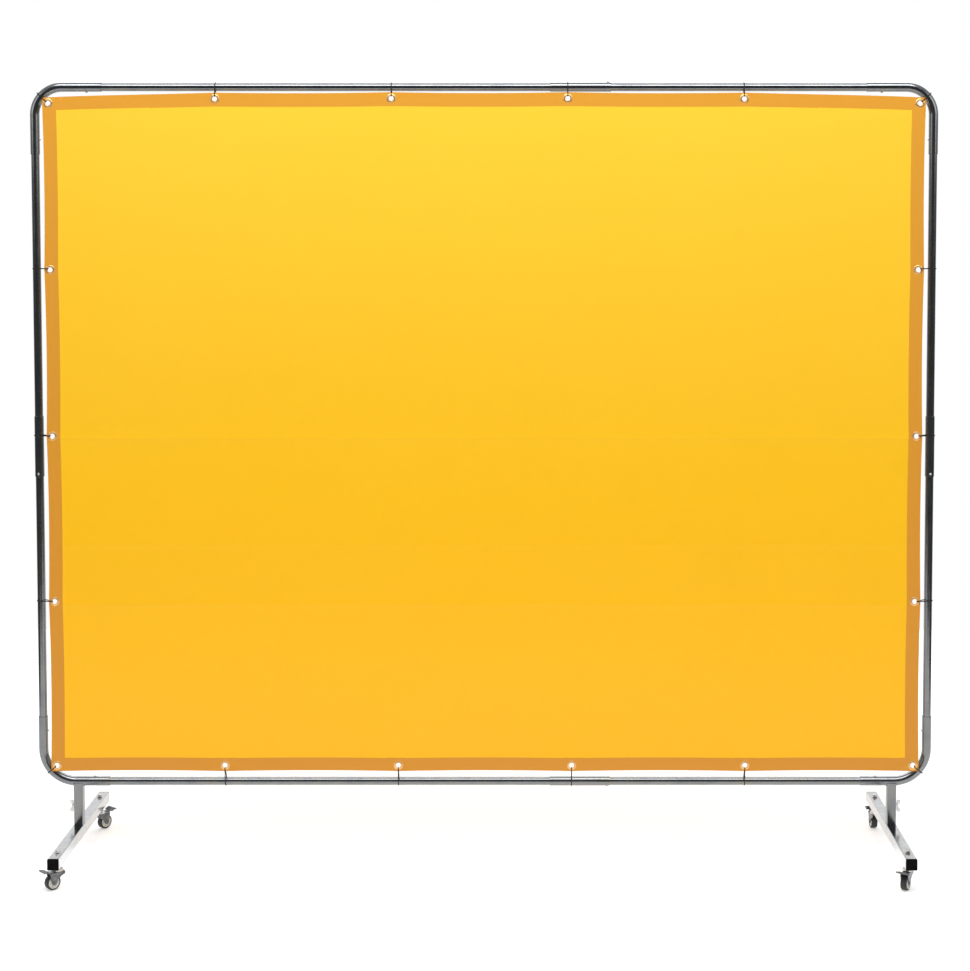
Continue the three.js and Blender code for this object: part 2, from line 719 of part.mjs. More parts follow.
// At a corner the tie also goes over the curtain's own corner, which lies on the bend.
const roundCorner = boreRadius(gap + curtainThickness / 2 - curtainPlane, tieSides);
for (const [name, side, up, rail, bendRadius, eyeletZ] of [
  ['top_left_tie', -1, 1, topRail, topBendRadius, topEyelet],
  ['top_right_tie', 1, 1, topRail, topBendRadius, topEyelet],
  ['bottom_left_tie', -1, -1, bottomRail, bottomBendRadius, bottomEyelet],
  ['bottom_right_tie', 1, -1, bottomRail, bottomBendRadius, bottomEyelet],
]) {
  const centre = new THREE.Vector2(side * (half - bendRadius), rail - up * bendRadius);
  const outward = new THREE.Vector2(side * eyeletX, eyeletZ).sub(centre);
  const onTube = outward.clone().setLength(bendRadius).add(centre);
  const tie = cableTie(roundCorner, bendRadius - outward.length(), 90);
  place(screen, name, tie, blackPlastic, [onTube.x, 0, onTube.y], [0, -outward.angle(), 0]);
}

// Feet, with their caps and wing screws.
const foot = footRail();
const cap = footCap();
const screw = wingScrew();
for (const [name, side] of [['left', -1], ['right', 1]]) {
  const x = side * postX;
  const middle = footBottom + footTube / 2;
  place(screen, `${name}_foot_rail`, foot, galvanisedSteel, [x, 0, 0]);
  place(screen, `${name}_front_cap`, cap, blackPlastic, [x, -footLength / 2, middle]);
  place(screen, `${name}_rear_cap`, cap, blackPlastic, [x, footLength / 2, middle], [0, 0, Math.PI]);
  const screwTurn = [0, side * right, 0];
  place(screen, `${name}_wing_screw`, screw, zincSteel, [x, 0, footTop + wingScrewHeight], screwTurn);
}

// Casters.
const stem = casterStem();
const fork = casterFork();
const wheel = casterWheel();
const pedal = brakePedal();
for (const [name, x, y] of [
  ['front_left', -postX, -casterY],
  ['front_right', postX, -casterY],
  ['rear_left', -postX, casterY],
  ['rear_right', postX, casterY],
]) {
  const caster = new THREE.Group();
  caster.position.set(x, y, 0);
  place(caster, `${name}_caster_stem`, stem, zincSteel, [0, 0, 0]);
  const swivel = new THREE.Group();
  swivel.rotation.z = THREE.MathUtils.degToRad(casterYaw[name]);
  place(swivel, `${name}_caster_fork`, fork, zincSteel, [0, 0, 0]);
  place(swivel, `${name}_caster_wheel`, wheel, greyRubber, axlePlace);
  place(swivel, `${name}_caster_brake`, pedal, zincSteel, [0, brakePin.y, brakePin.z]);
  caster.add(swivel);
  screen.add(caster);
}

export default screen;
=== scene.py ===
# %% [markdown]
# # A welding curtain screen
# A frame of round steel tube stands on two square foot rails with braked casters, and a
# yellow vinyl curtain is laced to its front. The bodies and joints come from the packed
# model, so each piece below is made where that model has it and rides on its body. All
# sizes are in metres, with MM for the small ones.

# %% Load the frame
import json
import math

import bmesh
import bpy
from mathutils import Matrix, Vector, noise


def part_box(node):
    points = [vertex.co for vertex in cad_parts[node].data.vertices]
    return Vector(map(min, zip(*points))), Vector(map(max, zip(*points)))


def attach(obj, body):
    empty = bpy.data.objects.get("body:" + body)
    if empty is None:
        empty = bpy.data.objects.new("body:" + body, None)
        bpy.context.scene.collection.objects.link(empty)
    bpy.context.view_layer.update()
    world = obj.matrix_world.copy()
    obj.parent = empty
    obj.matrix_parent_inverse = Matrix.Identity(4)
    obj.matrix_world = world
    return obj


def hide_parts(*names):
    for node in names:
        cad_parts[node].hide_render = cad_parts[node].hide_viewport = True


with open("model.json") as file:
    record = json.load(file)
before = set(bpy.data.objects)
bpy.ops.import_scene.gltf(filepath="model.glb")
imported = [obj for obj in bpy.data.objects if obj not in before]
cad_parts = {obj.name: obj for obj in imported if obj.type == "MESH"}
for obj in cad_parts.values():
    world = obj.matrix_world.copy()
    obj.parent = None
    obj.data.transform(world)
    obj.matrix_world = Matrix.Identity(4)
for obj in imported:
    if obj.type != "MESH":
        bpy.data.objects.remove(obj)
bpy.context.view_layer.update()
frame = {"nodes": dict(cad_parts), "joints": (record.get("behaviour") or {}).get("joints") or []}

MM = 0.001

# %% [markdown]
# ## Camera
# The screen is seen from eye height, a little right of its middle, through a longish
# lens. The uprights stay nearly parallel, as they do when a camera is held almost level
# and its lens is shifted down to take in the feet.

# %% Camera
camera_data = bpy.data.cameras.new("camera")
camera_data.lens, camera_data.sensor_width = 67.2, 36
camera_data.shift_x, camera_data.shift_y = -0.0501, -0.1718
camera = bpy.data.objects.new("camera", camera_data)
bpy.context.scene.collection.objects.link(camera)
camera.location = (0.133, -4.892, 1.737)
camera.rotation_euler = (math.radians(90 - 3), 0, 0)
bpy.context.scene.camera = camera

# %% [markdown]
# ## Helpers for colour and material nodes
# A colour is written as its sRGB hex value, and one function turns it to the linear
# numbers that a shader wants. A second small function adds a node of any kind with its
# settings and links, so each material below reads as a list of what it does. Patterns
# are laid out on the Object coordinates, where a point lies in metres, so a pattern's
# scale is one over its real size.

# %% Colour and node helpers
def linear(hex_value):
    channels = [((hex_value >> shift) & 255) / 255 for shift in (16, 8, 0)]
    return tuple(c / 12.92 if c <= 0.04045 else ((c + 0.055) / 1.055) ** 2.4 for c in channels)


def add_node(tree, kind, inputs=None, stops=(), **settings):
    """Adds a node. An input is a number or another node's output, and stops are a ramp's."""
    node = tree.nodes.new(kind)
    for name, value in settings.items():
        setattr(node, name, value)
    for name, value in (inputs or {}).items():
        if isinstance(value, bpy.types.NodeSocket):
            tree.links.new(value, node.inputs[name])
        else:
            node.inputs[name].default_value = value
    while stops and len(node.color_ramp.elements) < len(stops):
        node.color_ramp.elements.new(0.5)
    for stop, (where, value) in enumerate(stops):
        element = node.color_ramp.elements[stop]
        element.position = where
        element.color = (*(linear(value) if isinstance(value, int) else [value] * 3), 1)
    return node


def new_material(name, hex_value, **sockets):
    """A material on the Principled shader, with its constant values on its own sockets."""
    material = bpy.data.materials.new(name)
    material.use_nodes = True
    shader = material.node_tree.nodes["Principled BSDF"]
    shader.inputs["Base Color"].default_value = (*linear(hex_value), 1)
    for socket, value in sockets.items():
        shader.inputs[socket.replace("_", " ")].default_value = value
    return material, material.node_tree, shader


def connect(shader, **outputs):
    """Links nodes' outputs to the shader's sockets."""
    for socket, output in outputs.items():
        shader.id_data.links.new(output, shader.inputs[socket.replace("_", " ")])


# %% [markdown]
# ## Bright zinc on drawn tube
# The frame and its legs are electro-galvanised steel tube. The plating is thin and was
# passivated, which greys it, but it is still almost a mirror. The mill's draw marks run
# along it and cloud the reflection. The noise for them is about 5 mm wide and is
# stretched along the tube, so rails and posts have one material each, and a bend has
# marks both ways.

# %% Plated tube
def plated_tube(name, stretch):
    material, tree, shader = new_material(name, 0x7C7F82, Metallic=1.0)
    where = add_node(tree, "ShaderNodeTexCoord").outputs["Object"]
    drawn = add_node(tree, "ShaderNodeMapping", {"Vector": where, "Scale": stretch})
    marks = add_node(tree, "ShaderNodeTexNoise", {
        "Vector": drawn.outputs["Vector"], "Scale": 1 / (5 * MM), "Detail": 1}).outputs["Fac"]
    clouds = add_node(tree, "ShaderNodeTexNoise", {
        "Vector": where, "Scale": 1 / (60 * MM), "Detail": 2}).outputs["Fac"]
    rough = add_node(tree, "ShaderNodeValToRGB", {"Fac": marks}, [(0.35, 0.14), (0.7, 0.2)])
    colour = add_node(tree, "ShaderNodeValToRGB", {"Fac": clouds},
                      [(0.3, 0x74777B), (0.55, 0x7E8183), (0.75, 0x80807C)])
    relief = add_node(tree, "ShaderNodeBump", {
        "Height": marks, "Distance": 0.01 * MM, "Strength": 0.3})
    connect(shader, Base_Color=colour.outputs["Color"], Roughness=rough.outputs["Color"],
            Normal=relief.outputs["Normal"])
    return material


RAIL_ZINC = plated_tube("bright zinc on drawn steel tube, rails", (0.08, 1, 1))
POST_ZINC = plated_tube("bright zinc on drawn steel tube, posts", (1, 1, 0.08))
BEND_ZINC = plated_tube("bright zinc on bent steel tube", (0.4, 1, 0.4))

# %% [markdown]
# ## Galvanised square tube
# The foot rails are rolled from strip that was galvanised first, so their zinc is thicker,
# paler and flat as a mirror. It sets in crystals about 9 mm across, the spangle, that
# differ slightly in grey.

# %% Galvanised tube
GALVANISED, tree, shader = new_material("galvanised square steel tube", 0xC4C5C6, Metallic=1.0)
where = add_node(tree, "ShaderNodeTexCoord").outputs["Object"]
spangle = add_node(tree, "ShaderNodeTexVoronoi", {"Vector": where, "Scale": 1 / (9 * MM)})
colour = add_node(tree, "ShaderNodeValToRGB", {"Fac": spangle.outputs["Color"]},
                  [(0.2, 0xBEC0C2), (0.8, 0xCACBCC)])
clouds = add_node(tree, "ShaderNodeTexNoise", {
    "Vector": where, "Scale": 1 / (25 * MM), "Detail": 4})
rough = add_node(tree, "ShaderNodeValToRGB", {"Fac": clouds.outputs["Fac"]},
                 [(0.3, 0.13), (0.7, 0.2)])
grain = add_node(tree, "ShaderNodeTexNoise", {"Vector": where, "Scale": 1 / (1.5 * MM)})
relief = add_node(tree, "ShaderNodeBump", {
    "Height": grain.outputs["Fac"], "Distance": 0.01 * MM, "Strength": 0.3})
connect(shader, Base_Color=colour.outputs["Color"], Roughness=rough.outputs["Color"],
        Normal=relief.outputs["Normal"])

# %% [markdown]
# ## Zinc-plated fittings
# Screws, cap nuts and snap buttons are turned or cast, and come bright out of the plating
# barrel. The casters' forks and pedals are pressed from sheet and passivated, so they are
# darker, and the weld beads are given the same dull grey. Knocking together in the barrel
# leaves a fine even dulling, with slightly darker patches of 7 to 15 mm.

# %% Zinc-plated fittings
def barrel_plated(name, dark_hex, light_hex):
    material, tree, shader = new_material(name, light_hex, Metallic=1.0)
    where = add_node(tree, "ShaderNodeTexCoord").outputs["Object"]
    patches = add_node(tree, "ShaderNodeTexNoise", {
        "Vector": where, "Scale": 1 / (15 * MM), "Detail": 3})
    knocks = add_node(tree, "ShaderNodeTexNoise", {
        "Vector": where, "Scale": 1 / (1.2 * MM), "Detail": 4})
    colour = add_node(tree, "ShaderNodeValToRGB", {"Fac": patches.outputs["Fac"]},
                      [(0.3, dark_hex), (0.7, light_hex)])
    rough = add_node(tree, "ShaderNodeValToRGB", {"Fac": patches.outputs["Fac"]},
                     [(0.3, 0.36), (0.7, 0.24)])
    relief = add_node(tree, "ShaderNodeBump", {
        "Height": knocks.outputs["Fac"], "Distance": 0.04 * MM, "Strength": 0.5})
    connect(shader, Base_Color=colour.outputs["Color"], Roughness=rough.outputs["Color"],
            Normal=relief.outputs["Normal"])
    return material


TURNED_ZINC = barrel_plated("barrel-plated zinc on turned steel", 0xB6B8BA, 0xD2D3D4)
PRESSED_ZINC = barrel_plated("barrel-plated zinc on pressed steel", 0x585B5F, 0x7A7C7E)

# %% [markdown]
# ## Moulded plastics and rubber
# The ties are nylon 66, the end caps polyethylene with a fine spark-eroded grain, the
# hubs natural polypropylene, and the tyres dark grey thermoplastic rubber. All are
# moulded, so each has a soft grain of about a millimetre or less, and a slow change of
# tone where it has cooled or been handled.

# %% Moulded finishes
def moulded(name, hex_value, worn_hex, grain, depth, roughness, shine=0.5):
    material, tree, shader = new_material(
        name, hex_value, Roughness=roughness, Specular_IOR_Level=shine)
    where = add_node(tree, "ShaderNodeTexCoord").outputs["Object"]
    slow = add_node(tree, "ShaderNodeTexNoise", {
        "Vector": where, "Scale": 1 / (12 * MM), "Detail": 3})
    fine = add_node(tree, "ShaderNodeTexNoise", {"Vector": where, "Scale": 1 / grain, "Detail": 2})
    colour = add_node(tree, "ShaderNodeValToRGB", {"Fac": slow.outputs["Fac"]},
                      [(0.35, hex_value), (0.7, worn_hex)])
    relief = add_node(tree, "ShaderNodeBump", {
        "Height": fine.outputs["Fac"], "Distance": depth, "Strength": 0.6})
    connect(shader, Base_Color=colour.outputs["Color"], Normal=relief.outputs["Normal"])
    return material


NYLON = moulded("nylon 66, black, moulded",
                0x1B1613, 0x26201C, 0.6 * MM, 0.02 * MM, 0.42, 0.3)
CAP_PLASTIC = moulded("polyethylene, black, grained",
                      0x060607, 0x0B0B0C, 0.7 * MM, 0.05 * MM, 0.6, 0.06)
TYRE_RUBBER = moulded("thermoplastic rubber, grey",
                      0x222426, 0x2E3032, 0.9 * MM, 0.05 * MM, 0.55, 0.4)
HUB_PLASTIC = moulded("polypropylene, natural white",
                      0xDEDED9, 0xECECE8, 1 * MM, 0.02 * MM, 0.38)

# %% [markdown]
# ## Eyelets' metal
# The eyelets are brass, stamped and nickel plated. Nickel is warmer than zinc, and its
# colour here is a warmer gold still, a painted reflection of the yellow film close by.
# The stamping leaves faint rubbed spots.

# %% Nickel
NICKEL_AND_FILM_REFLECTION, tree, shader = new_material("nickel-plated brass, stamped", 0xE4B478, Metallic=1.0)
where = add_node(tree, "ShaderNodeTexCoord").outputs["Object"]
spots = add_node(tree, "ShaderNodeTexNoise", {"Vector": where, "Scale": 1 / (4 * MM)})
rough = add_node(tree, "ShaderNodeValToRGB", {"Fac": spots.outputs["Fac"]},
                 [(0.35, 0.36), (0.7, 0.5)])
# The warm gold stops are nickel's tone with a painted reflection of the yellow film.
colour = add_node(tree, "ShaderNodeValToRGB", {"Fac": spots.outputs["Fac"]},
                  [(0.3, 0xE0AC68), (0.7, 0xEDC896)])
connect(shader, Base_Color=colour.outputs["Color"], Roughness=rough.outputs["Color"])

# %% [markdown]
# ## Vinyl
# Welding vinyl is calendered PVC film, half a millimetre thick and tinted all through.
# Light passes it and scatters, so it glows where the room behind is bright, and its skin
# is smooth with a slight orange peel about 14 mm across. Its colour is painted deeper
# and more orange towards the bottom and paler at the top, a painted shade for the light
# that falls from above, and the hems are painted the same way. At the hems the film is doubled.
# Two layers of a tint look deeper and redder than one, so the hems have their own
# material.

# %% Vinyl film
SHADE_RAMP_HEIGHT, CLOUD_RISE = 2.2, 0.2


def vinyl(name, tints, passes):
    """A film painted with shade: its colour deepens towards the bottom, shifted a little by soft
    clouds.
    """
    material, tree, shader = new_material(
        name, tints[0][1], Roughness=0.3, IOR=1.53, Specular_IOR_Level=0.15,
        Transmission_Weight=passes)
    where = add_node(tree, "ShaderNodeTexCoord").outputs["Object"]
    clouds = add_node(tree, "ShaderNodeTexNoise", {
        "Vector": where, "Scale": 1 / (500 * MM), "Detail": 1})
    peel = add_node(tree, "ShaderNodeTexNoise", {
        "Vector": where, "Scale": 1 / (14 * MM), "Detail": 3})
    place = add_node(tree, "ShaderNodeSeparateXYZ", {"Vector": where})
    # Painted shade: the colour ramp goes by height, deeper low down and paler high up, as light falls
    # from above.
    height = add_node(tree, "ShaderNodeMath", {
        0: clouds.outputs["Fac"], 1: CLOUD_RISE, 2: place.outputs["Z"]}, operation="MULTIPLY_ADD")
    share = add_node(tree, "ShaderNodeMath", {
        0: height.outputs["Value"], 1: SHADE_RAMP_HEIGHT}, operation="DIVIDE")
    colour = add_node(tree, "ShaderNodeValToRGB", {"Fac": share.outputs["Value"]}, tints)
    relief = add_node(tree, "ShaderNodeBump", {
        "Height": peel.outputs["Fac"], "Distance": 0.15 * MM, "Strength": 0.25})
    connect(shader, Base_Color=colour.outputs["Color"], Normal=relief.outputs["Normal"])
    return material


# The low stops are painted shade, deeper and more orange than the high ones.
VINYL = vinyl("tinted PVC film, calendered",
              [(0.18, 0xFFC208), (0.5, 0xFFC912), (0.97, 0xFFD338)], 0.35)
HEM_VINYL = vinyl("tinted PVC film, doubled and heat-sealed",
                  [(0.2, 0xDE962E), (0.95, 0xE3A034)], 0.2)
print("materials", len(bpy.data.materials))

# %% [markdown]
# ## Working in edit mode
# Each piece starts as a primitive and is shaped with the edit mode's own tools. A new
# primitive is selected all over, so the usual step is to deselect, pick faces or edges by
# their place, and then use the tool on those. The first helpers start a piece, pick on
# it, and pull what is picked.

# %% Starting and picking
def start(name, add, **settings):
    """A primitive under its own name, its place in its mesh, in edit mode, selected."""
    bpy.ops.object.select_all(action="DESELECT")
    add(**settings)
    piece = bpy.context.active_object
    piece.name = piece.data.name = name
    bpy.ops.object.transform_apply(location=True, rotation=True, scale=True)
    bpy.ops.object.mode_set(mode="EDIT")
    bpy.ops.mesh.select_mode(type="VERT")
    bpy.ops.mesh.select_all(action="SELECT")
    return piece


def pick(mode, test):
    """Selects the edges or faces whose middle and direction pass the test."""
    bpy.ops.mesh.select_mode(type=mode)
    bpy.ops.mesh.select_all(action="DESELECT")
    mesh = bpy.context.active_object.data
    shape = bmesh.from_edit_mesh(mesh)
    found = {
        "FACE": lambda: [(f, f.calc_center_median(), f.normal) for f in shape.faces],
        "EDGE": lambda: [(e, (e.verts[0].co + e.verts[1].co) / 2, e.verts[1].co - e.verts[0].co)
                         for e in shape.edges],
    }[mode]()
    for item, middle, direction in found:
        if test(middle, direction):
            item.select_set(True)
    shape.select_flush_mode()
    bmesh.update_edit_mesh(mesh)


def pull(*by):
    """Extrudes what is selected and moves the new end."""
    bpy.ops.mesh.extrude_region_move(TRANSFORM_OT_translate={"value": by})


def resize(factor, about):
    bpy.ops.transform.resize(value=(factor, factor, factor), center_override=about)


def outward():
    """Merges doubled points and turns every face outwards."""
    bpy.ops.mesh.select_all(action="SELECT")
    bpy.ops.mesh.remove_doubles(threshold=0.01 * MM)
    bpy.ops.mesh.normals_make_consistent(inside=False)


# %% [markdown]
# ## Finishing a piece
# A wall, a rounded edge or a drilled hole is easiest as a modifier, which is applied at
# once so that the mesh is final. The last helpers smooth a piece, join two, copy one with
# a mesh of its own, and put a finished piece in its place, on its body, in its finish.

# %% Modifiers and placing
def only(piece):
    if bpy.context.mode != "OBJECT":
        bpy.ops.object.mode_set(mode="OBJECT")
    bpy.ops.object.select_all(action="DESELECT")
    piece.select_set(True)
    bpy.context.view_layer.objects.active = piece


def modify(piece, kind, **settings):
    only(piece)
    modifier = piece.modifiers.new(kind.title(), kind)
    for name, value in settings.items():
        setattr(modifier, name, value)
    bpy.ops.object.modifier_apply(modifier=modifier.name)


def soften(piece, width, degrees=50, segments=2):
    """Rounds every edge that is sharper than the angle."""
    modify(piece, "BEVEL", width=width, segments=segments, limit_method="ANGLE",
           angle_limit=math.radians(degrees))


def smooth(piece, degrees=35):
    """Smooth shading, in which a big flat face stays flat up to its rounded edges."""
    only(piece)
    bpy.ops.object.shade_smooth_by_angle(angle=math.radians(degrees))
    modify(piece, "WEIGHTED_NORMAL", keep_sharp=True, weight=80)


def join(pieces, name):
    only(pieces[0])
    for piece in pieces:
        piece.select_set(True)
    bpy.ops.object.join()
    pieces[0].name = pieces[0].data.name = name
    return pieces[0]


def copy_of(piece, name):
    made = piece.copy()
    made.data = piece.data.copy()
    made.name = made.data.name = name
    bpy.context.scene.collection.objects.link(made)
    return made


def turn(axis, degrees):
    return Matrix.Rotation(math.radians(degrees), 4, axis)


def put(piece, finish, body, node=None, turned_by=None, at=(0, 0, 0)):
    """Puts a finished piece in its place, in its finish, on its body."""
    only(piece)
    piece.data.transform(Matrix.Translation(at) @ (turned_by or Matrix.Identity(4)))
    if finish:
        piece.data.materials.clear()
        piece.data.materials.append(finish)
    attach(piece, body)
    if node:
        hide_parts(node)
    return piece


def middle_of(node):
    low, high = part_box(node)
    return (low + high) / 2


# %% [markdown]
# ## Turned pieces, plates and holes
# Three shapes come back often. A turned piece is a ring that is pulled along its axis and
# resized at each step, as a lathe's profile. A plate is an outline pulled to its
# thickness. A hole is a turned pin taken away from a piece.

# %% Turning, cutting and boring
def turned(name, profile, sides=48):
    """A ring pulled from one (radius, height) in millimetres to the next, about Z."""
    tiny = 0.05
    radius, height = profile[0]
    piece = start(name, bpy.ops.mesh.primitive_circle_add, vertices=sides,
                  radius=max(radius, tiny) * MM, location=(0, 0, height * MM))
    if radius == 0:
        bpy.ops.mesh.edge_face_add()
        pick("FACE", lambda middle, direction: True)
    for next_radius, next_height in profile[1:]:
        pull(0, 0, (next_height - height) * MM)
        resize(max(next_radius, tiny) / max(radius, tiny), (0, 0, next_height * MM))
        radius, height = next_radius, next_height
    outward()
    bpy.ops.object.mode_set(mode="OBJECT")
    return piece


def plate(name, outline, thickness):
    """A flat plate from z = 0, cut to an outline. All in millimetres."""
    piece = start(name, bpy.ops.mesh.primitive_circle_add, vertices=len(outline), fill_type="NGON")
    shape = bmesh.from_edit_mesh(piece.data)
    shape.verts.ensure_lookup_table()
    for vertex, (x, y) in zip(shape.verts, outline):
        vertex.co = (x * MM, y * MM, 0)
    bmesh.update_edit_mesh(piece.data)
    pull(0, 0, thickness * MM)
    outward()
    bpy.ops.object.mode_set(mode="OBJECT")
    return piece


def arc(x, y, radius, begin, end, steps):
    angles = [math.radians(begin + (end - begin) * step / steps) for step in range(steps + 1)]
    return [(x + radius * math.cos(angle), y + radius * math.sin(angle)) for angle in angles]


def bore(piece, point, direction, radius, length):
    """Drills a hole of that radius, from the point along the direction. In metres."""
    wide, long = radius / MM, length / MM
    drill = turned("drill", [(0, 0), (wide, 0), (wide, long), (0, long)], 24)
    aim = Vector((0, 0, 1)).rotation_difference(direction).to_matrix().to_4x4()
    drill.data.transform(Matrix.Translation(point) @ aim)
    modify(piece, "BOOLEAN", operation="DIFFERENCE", object=drill, solver="EXACT")
    bpy.data.objects.remove(drill)


# %% [markdown]
# ## The frame's straight tubes
# A tube could be a cylinder with its ends removed, but pulling a ring along shows what
# the mill does, and the joining sleeve on its end is then only a step in the same pull.
# The wall is given last, inwards, and the cut ends get a small deburred edge. Each tube
# is drilled where a snap button comes through it.

# %% Tube sizes, and where the snap buttons face
low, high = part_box("top_short_rail")
RAIL_RADIUS = (high.y - low.y) / 2
low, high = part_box("top_left_corner")
SLEEVE_RADIUS = (high.y - low.y) / 2
TUBE_WALL = 1.2 * MM
SLEEVE_LENGTH = 164 * MM
BUTTON = 3.2
TOP = middle_of("top_short_rail").z
BOTTOM = middle_of("bottom_short_rail").z
HALF = middle_of("right_lower_post").x
FACING = {joint["child"]: -Vector(joint["axis"]) for joint in frame["joints"]
          if joint["child"].endswith("_snap_button")}
print("radii", round(RAIL_RADIUS, 4), round(SLEEVE_RADIUS, 4), "half width", round(HALF, 4))


# %% Straight tubes
def shell(piece, wall, edge=0.3 * MM):
    """Gives an open skin its wall, inwards, and takes the burr off its ends."""
    outward()
    modify(piece, "SOLIDIFY", thickness=wall, offset=-1, use_even_offset=True)
    soften(piece, edge)


def drill_for(piece, spots):
    for spot in spots:
        button = spot + "_snap_button"
        low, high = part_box(button)
        facing = FACING[button]
        length = abs((high - low).dot(facing))
        foot = (low + high) / 2 - facing * length / 2
        bore(piece, foot, facing, (BUTTON + 0.3) * MM, length + 4 * MM)
    smooth(piece)


TUBES = {
    "top_long_rail": (SLEEVE_LENGTH, ["top_left_rail", "top_sleeve"]),
    "bottom_long_rail": (SLEEVE_LENGTH, ["bottom_left_rail", "bottom_sleeve"]),
    "top_short_rail": (0, ["top_right_rail", "top_sleeve"]),
    "bottom_short_rail": (0, ["bottom_right_rail", "bottom_sleeve"]),
    "left_upper_post": (SLEEVE_LENGTH, ["top_left_post", "left_sleeve"]),
    "right_upper_post": (SLEEVE_LENGTH, ["top_right_post", "right_sleeve"]),
    "left_lower_post": (0, ["bottom_left_post", "left_sleeve"]),
    "right_lower_post": (0, ["bottom_right_post", "right_sleeve"]),
}
for node, (sleeve, spots) in TUBES.items():
    low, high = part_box(node)
    along_x = "rail" in node
    length = high.x - low.x if along_x else high.z - low.z
    piece = start(node + "_tube", bpy.ops.mesh.primitive_circle_add, vertices=48,
                  radius=RAIL_RADIUS)
    pull(0, 0, length - sleeve)
    if sleeve:
        pull(0, 0, 0)
        resize(SLEEVE_RADIUS / RAIL_RADIUS, (0, 0, length - sleeve))
        pull(0, 0, sleeve)
    shell(piece, TUBE_WALL)
    middle = middle_of(node)
    if along_x:
        put(piece, RAIL_ZINC, "root", node, turn("Y", 90), (low.x, 0, middle.z))
    else:
        put(piece, POST_ZINC, "root", node, turn("X", 180), (middle.x, 0, high.z))
    drill_for(piece, spots)
    print(node, "length", round(length, 4))

# %% [markdown]
# ## The corner pieces
# A bender leaves a tube round with one smooth curve, and a spin of the same ring gives
# that. Each corner is made with its ends towards +X and -Z, and turned over into its
# place. The bottom ones have a slightly wider bend than the top ones.

# %% Corners
CORNER_LEG = 180 * MM
TOP_BEND, BOTTOM_BEND = 74 * MM, 90 * MM
CORNERS = {
    "top_left_corner": (TOP_BEND, Matrix.Identity(4), -1, TOP),
    "top_right_corner": (TOP_BEND, turn("Z", 180), 1, TOP),
    "bottom_left_corner": (BOTTOM_BEND, turn("X", 180), -1, BOTTOM),
    "bottom_right_corner": (BOTTOM_BEND, turn("Y", 180), 1, BOTTOM),
}
for node, (bend, turned_by, side, height) in CORNERS.items():
    piece = start(node + "_bend", bpy.ops.mesh.primitive_circle_add, vertices=48,
                  radius=SLEEVE_RADIUS, location=(CORNER_LEG, 0, 0), rotation=(0, math.pi / 2, 0))
    pull(bend - CORNER_LEG, 0, 0)
    bpy.ops.mesh.spin(steps=28, angle=math.pi / 2, center=(bend, 0, -bend), axis=(0, 1, 0))
    pull(0, 0, bend - CORNER_LEG)
    shell(piece, TUBE_WALL)
    put(piece, BEND_ZINC, "root", node, turned_by, (side * HALF, 0, height))
    spot = node.replace("_corner", "")
    drill_for(piece, [spot + "_rail", spot + "_post"])
    print(node, [round(x, 3) for x in piece.dimensions])

# %% [markdown]
# ## Snap buttons
# A snap button is a small domed pin on a bent spring strip inside the tube, and only its
# dome shows. It is turned once, with the flange that keeps it in, and copied. Each rides
# on its own body, so that it goes in when it is pressed.

# %% Snap buttons
low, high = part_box("top_sleeve_snap_button")
height = (high.z - low.z) / MM
button = turned("snap_button_pin", [
    (0, 0), (4.4, 0), (4.4, 1.2), (BUTTON, 1.2), (BUTTON, height - 1.7), (3.0, height - 1.0),
    (2.4, height - 0.4), (1.4, height - 0.08), (0, height),
], 32)
smooth(button, 40)
for name, facing in FACING.items():
    aim = Vector((0, 0, 1)).rotation_difference(facing).to_matrix().to_4x4()
    foot = middle_of(name) - facing * height * MM / 2
    put(copy_of(button, name + "_pin"), TURNED_ZINC, name, name, aim, foot)
bpy.data.objects.remove(button)
print(len(FACING), "snap buttons", round(height, 2), "mm long")

# %% [markdown]
# ## Square tube
# Square tube is rolled from strip, so its corners are round, with a radius about twice
# the wall. It starts as a cube, its long edges are bevelled, its ends are opened, and the
# wall goes inwards.

# %% Square tube
def square_tube(name, size, wall, corner_radius, length):
    """A length of square tube along Z, from z = 0."""
    piece = start(name, bpy.ops.mesh.primitive_cube_add, size=1, location=(0, 0, length / 2),
                  scale=(size, size, length))
    pick("EDGE", lambda middle, direction: abs(direction.z) > length / 2)
    bpy.ops.mesh.bevel(offset=corner_radius, segments=5, affect="EDGES")
    pick("FACE", lambda middle, direction: abs(direction.z) > 0.9)
    bpy.ops.mesh.delete(type="FACE")
    shell(piece, wall, 0.25 * MM)
    return piece


# %% [markdown]
# ## Legs and their welds
# A square leg is coped to fit the underside of each bottom corner and welded all round. A
# weld bead is a row of small ripples, so it is a curve with a round section that follows
# the line where leg and tube meet, and its thickness goes up and down along it.

# %% Legs
SIDES = {"left": -1, "right": 1}
LEG = 25 * MM
LEG_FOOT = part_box("bottom_left_corner")[0].z
FOOT_TOP = LEG_FOOT - 0.3 * MM


def weld_line(half, radius, height):
    """Where a square leg of that half width meets the round tube above it."""
    steps = 14
    corners = [(-half, -half), (half, -half), (half, half), (-half, half)]
    line = []
    for (x, y), (next_x, next_y) in zip(corners, corners[1:] + corners[:1]):
        for step in range(steps):
            along = step / steps
            across = 0.97 * (y + (next_y - y) * along)
            drop = math.sqrt(radius ** 2 - across ** 2)
            line.append((x + (next_x - x) * along, across, height - drop))
    return line


def weld_bead(name, line, thickness):
    """A closed bead along the line, with ripples."""
    curve = bpy.data.curves.new(name, "CURVE")
    curve.dimensions = "3D"
    curve.bevel_depth, curve.bevel_resolution = thickness, 3
    spline = curve.splines.new("POLY")
    spline.points.add(len(line) - 1)
    spline.use_cyclic_u = True
    for step, (point, spot) in enumerate(zip(spline.points, line)):
        point.co = (*spot, 1)
        point.radius = 1 + 0.22 * math.sin(step * 2.1)
    bead = bpy.data.objects.new(name, curve)
    bpy.context.scene.collection.objects.link(bead)
    only(bead)
    bpy.ops.object.convert(target="MESH")
    return bpy.context.active_object


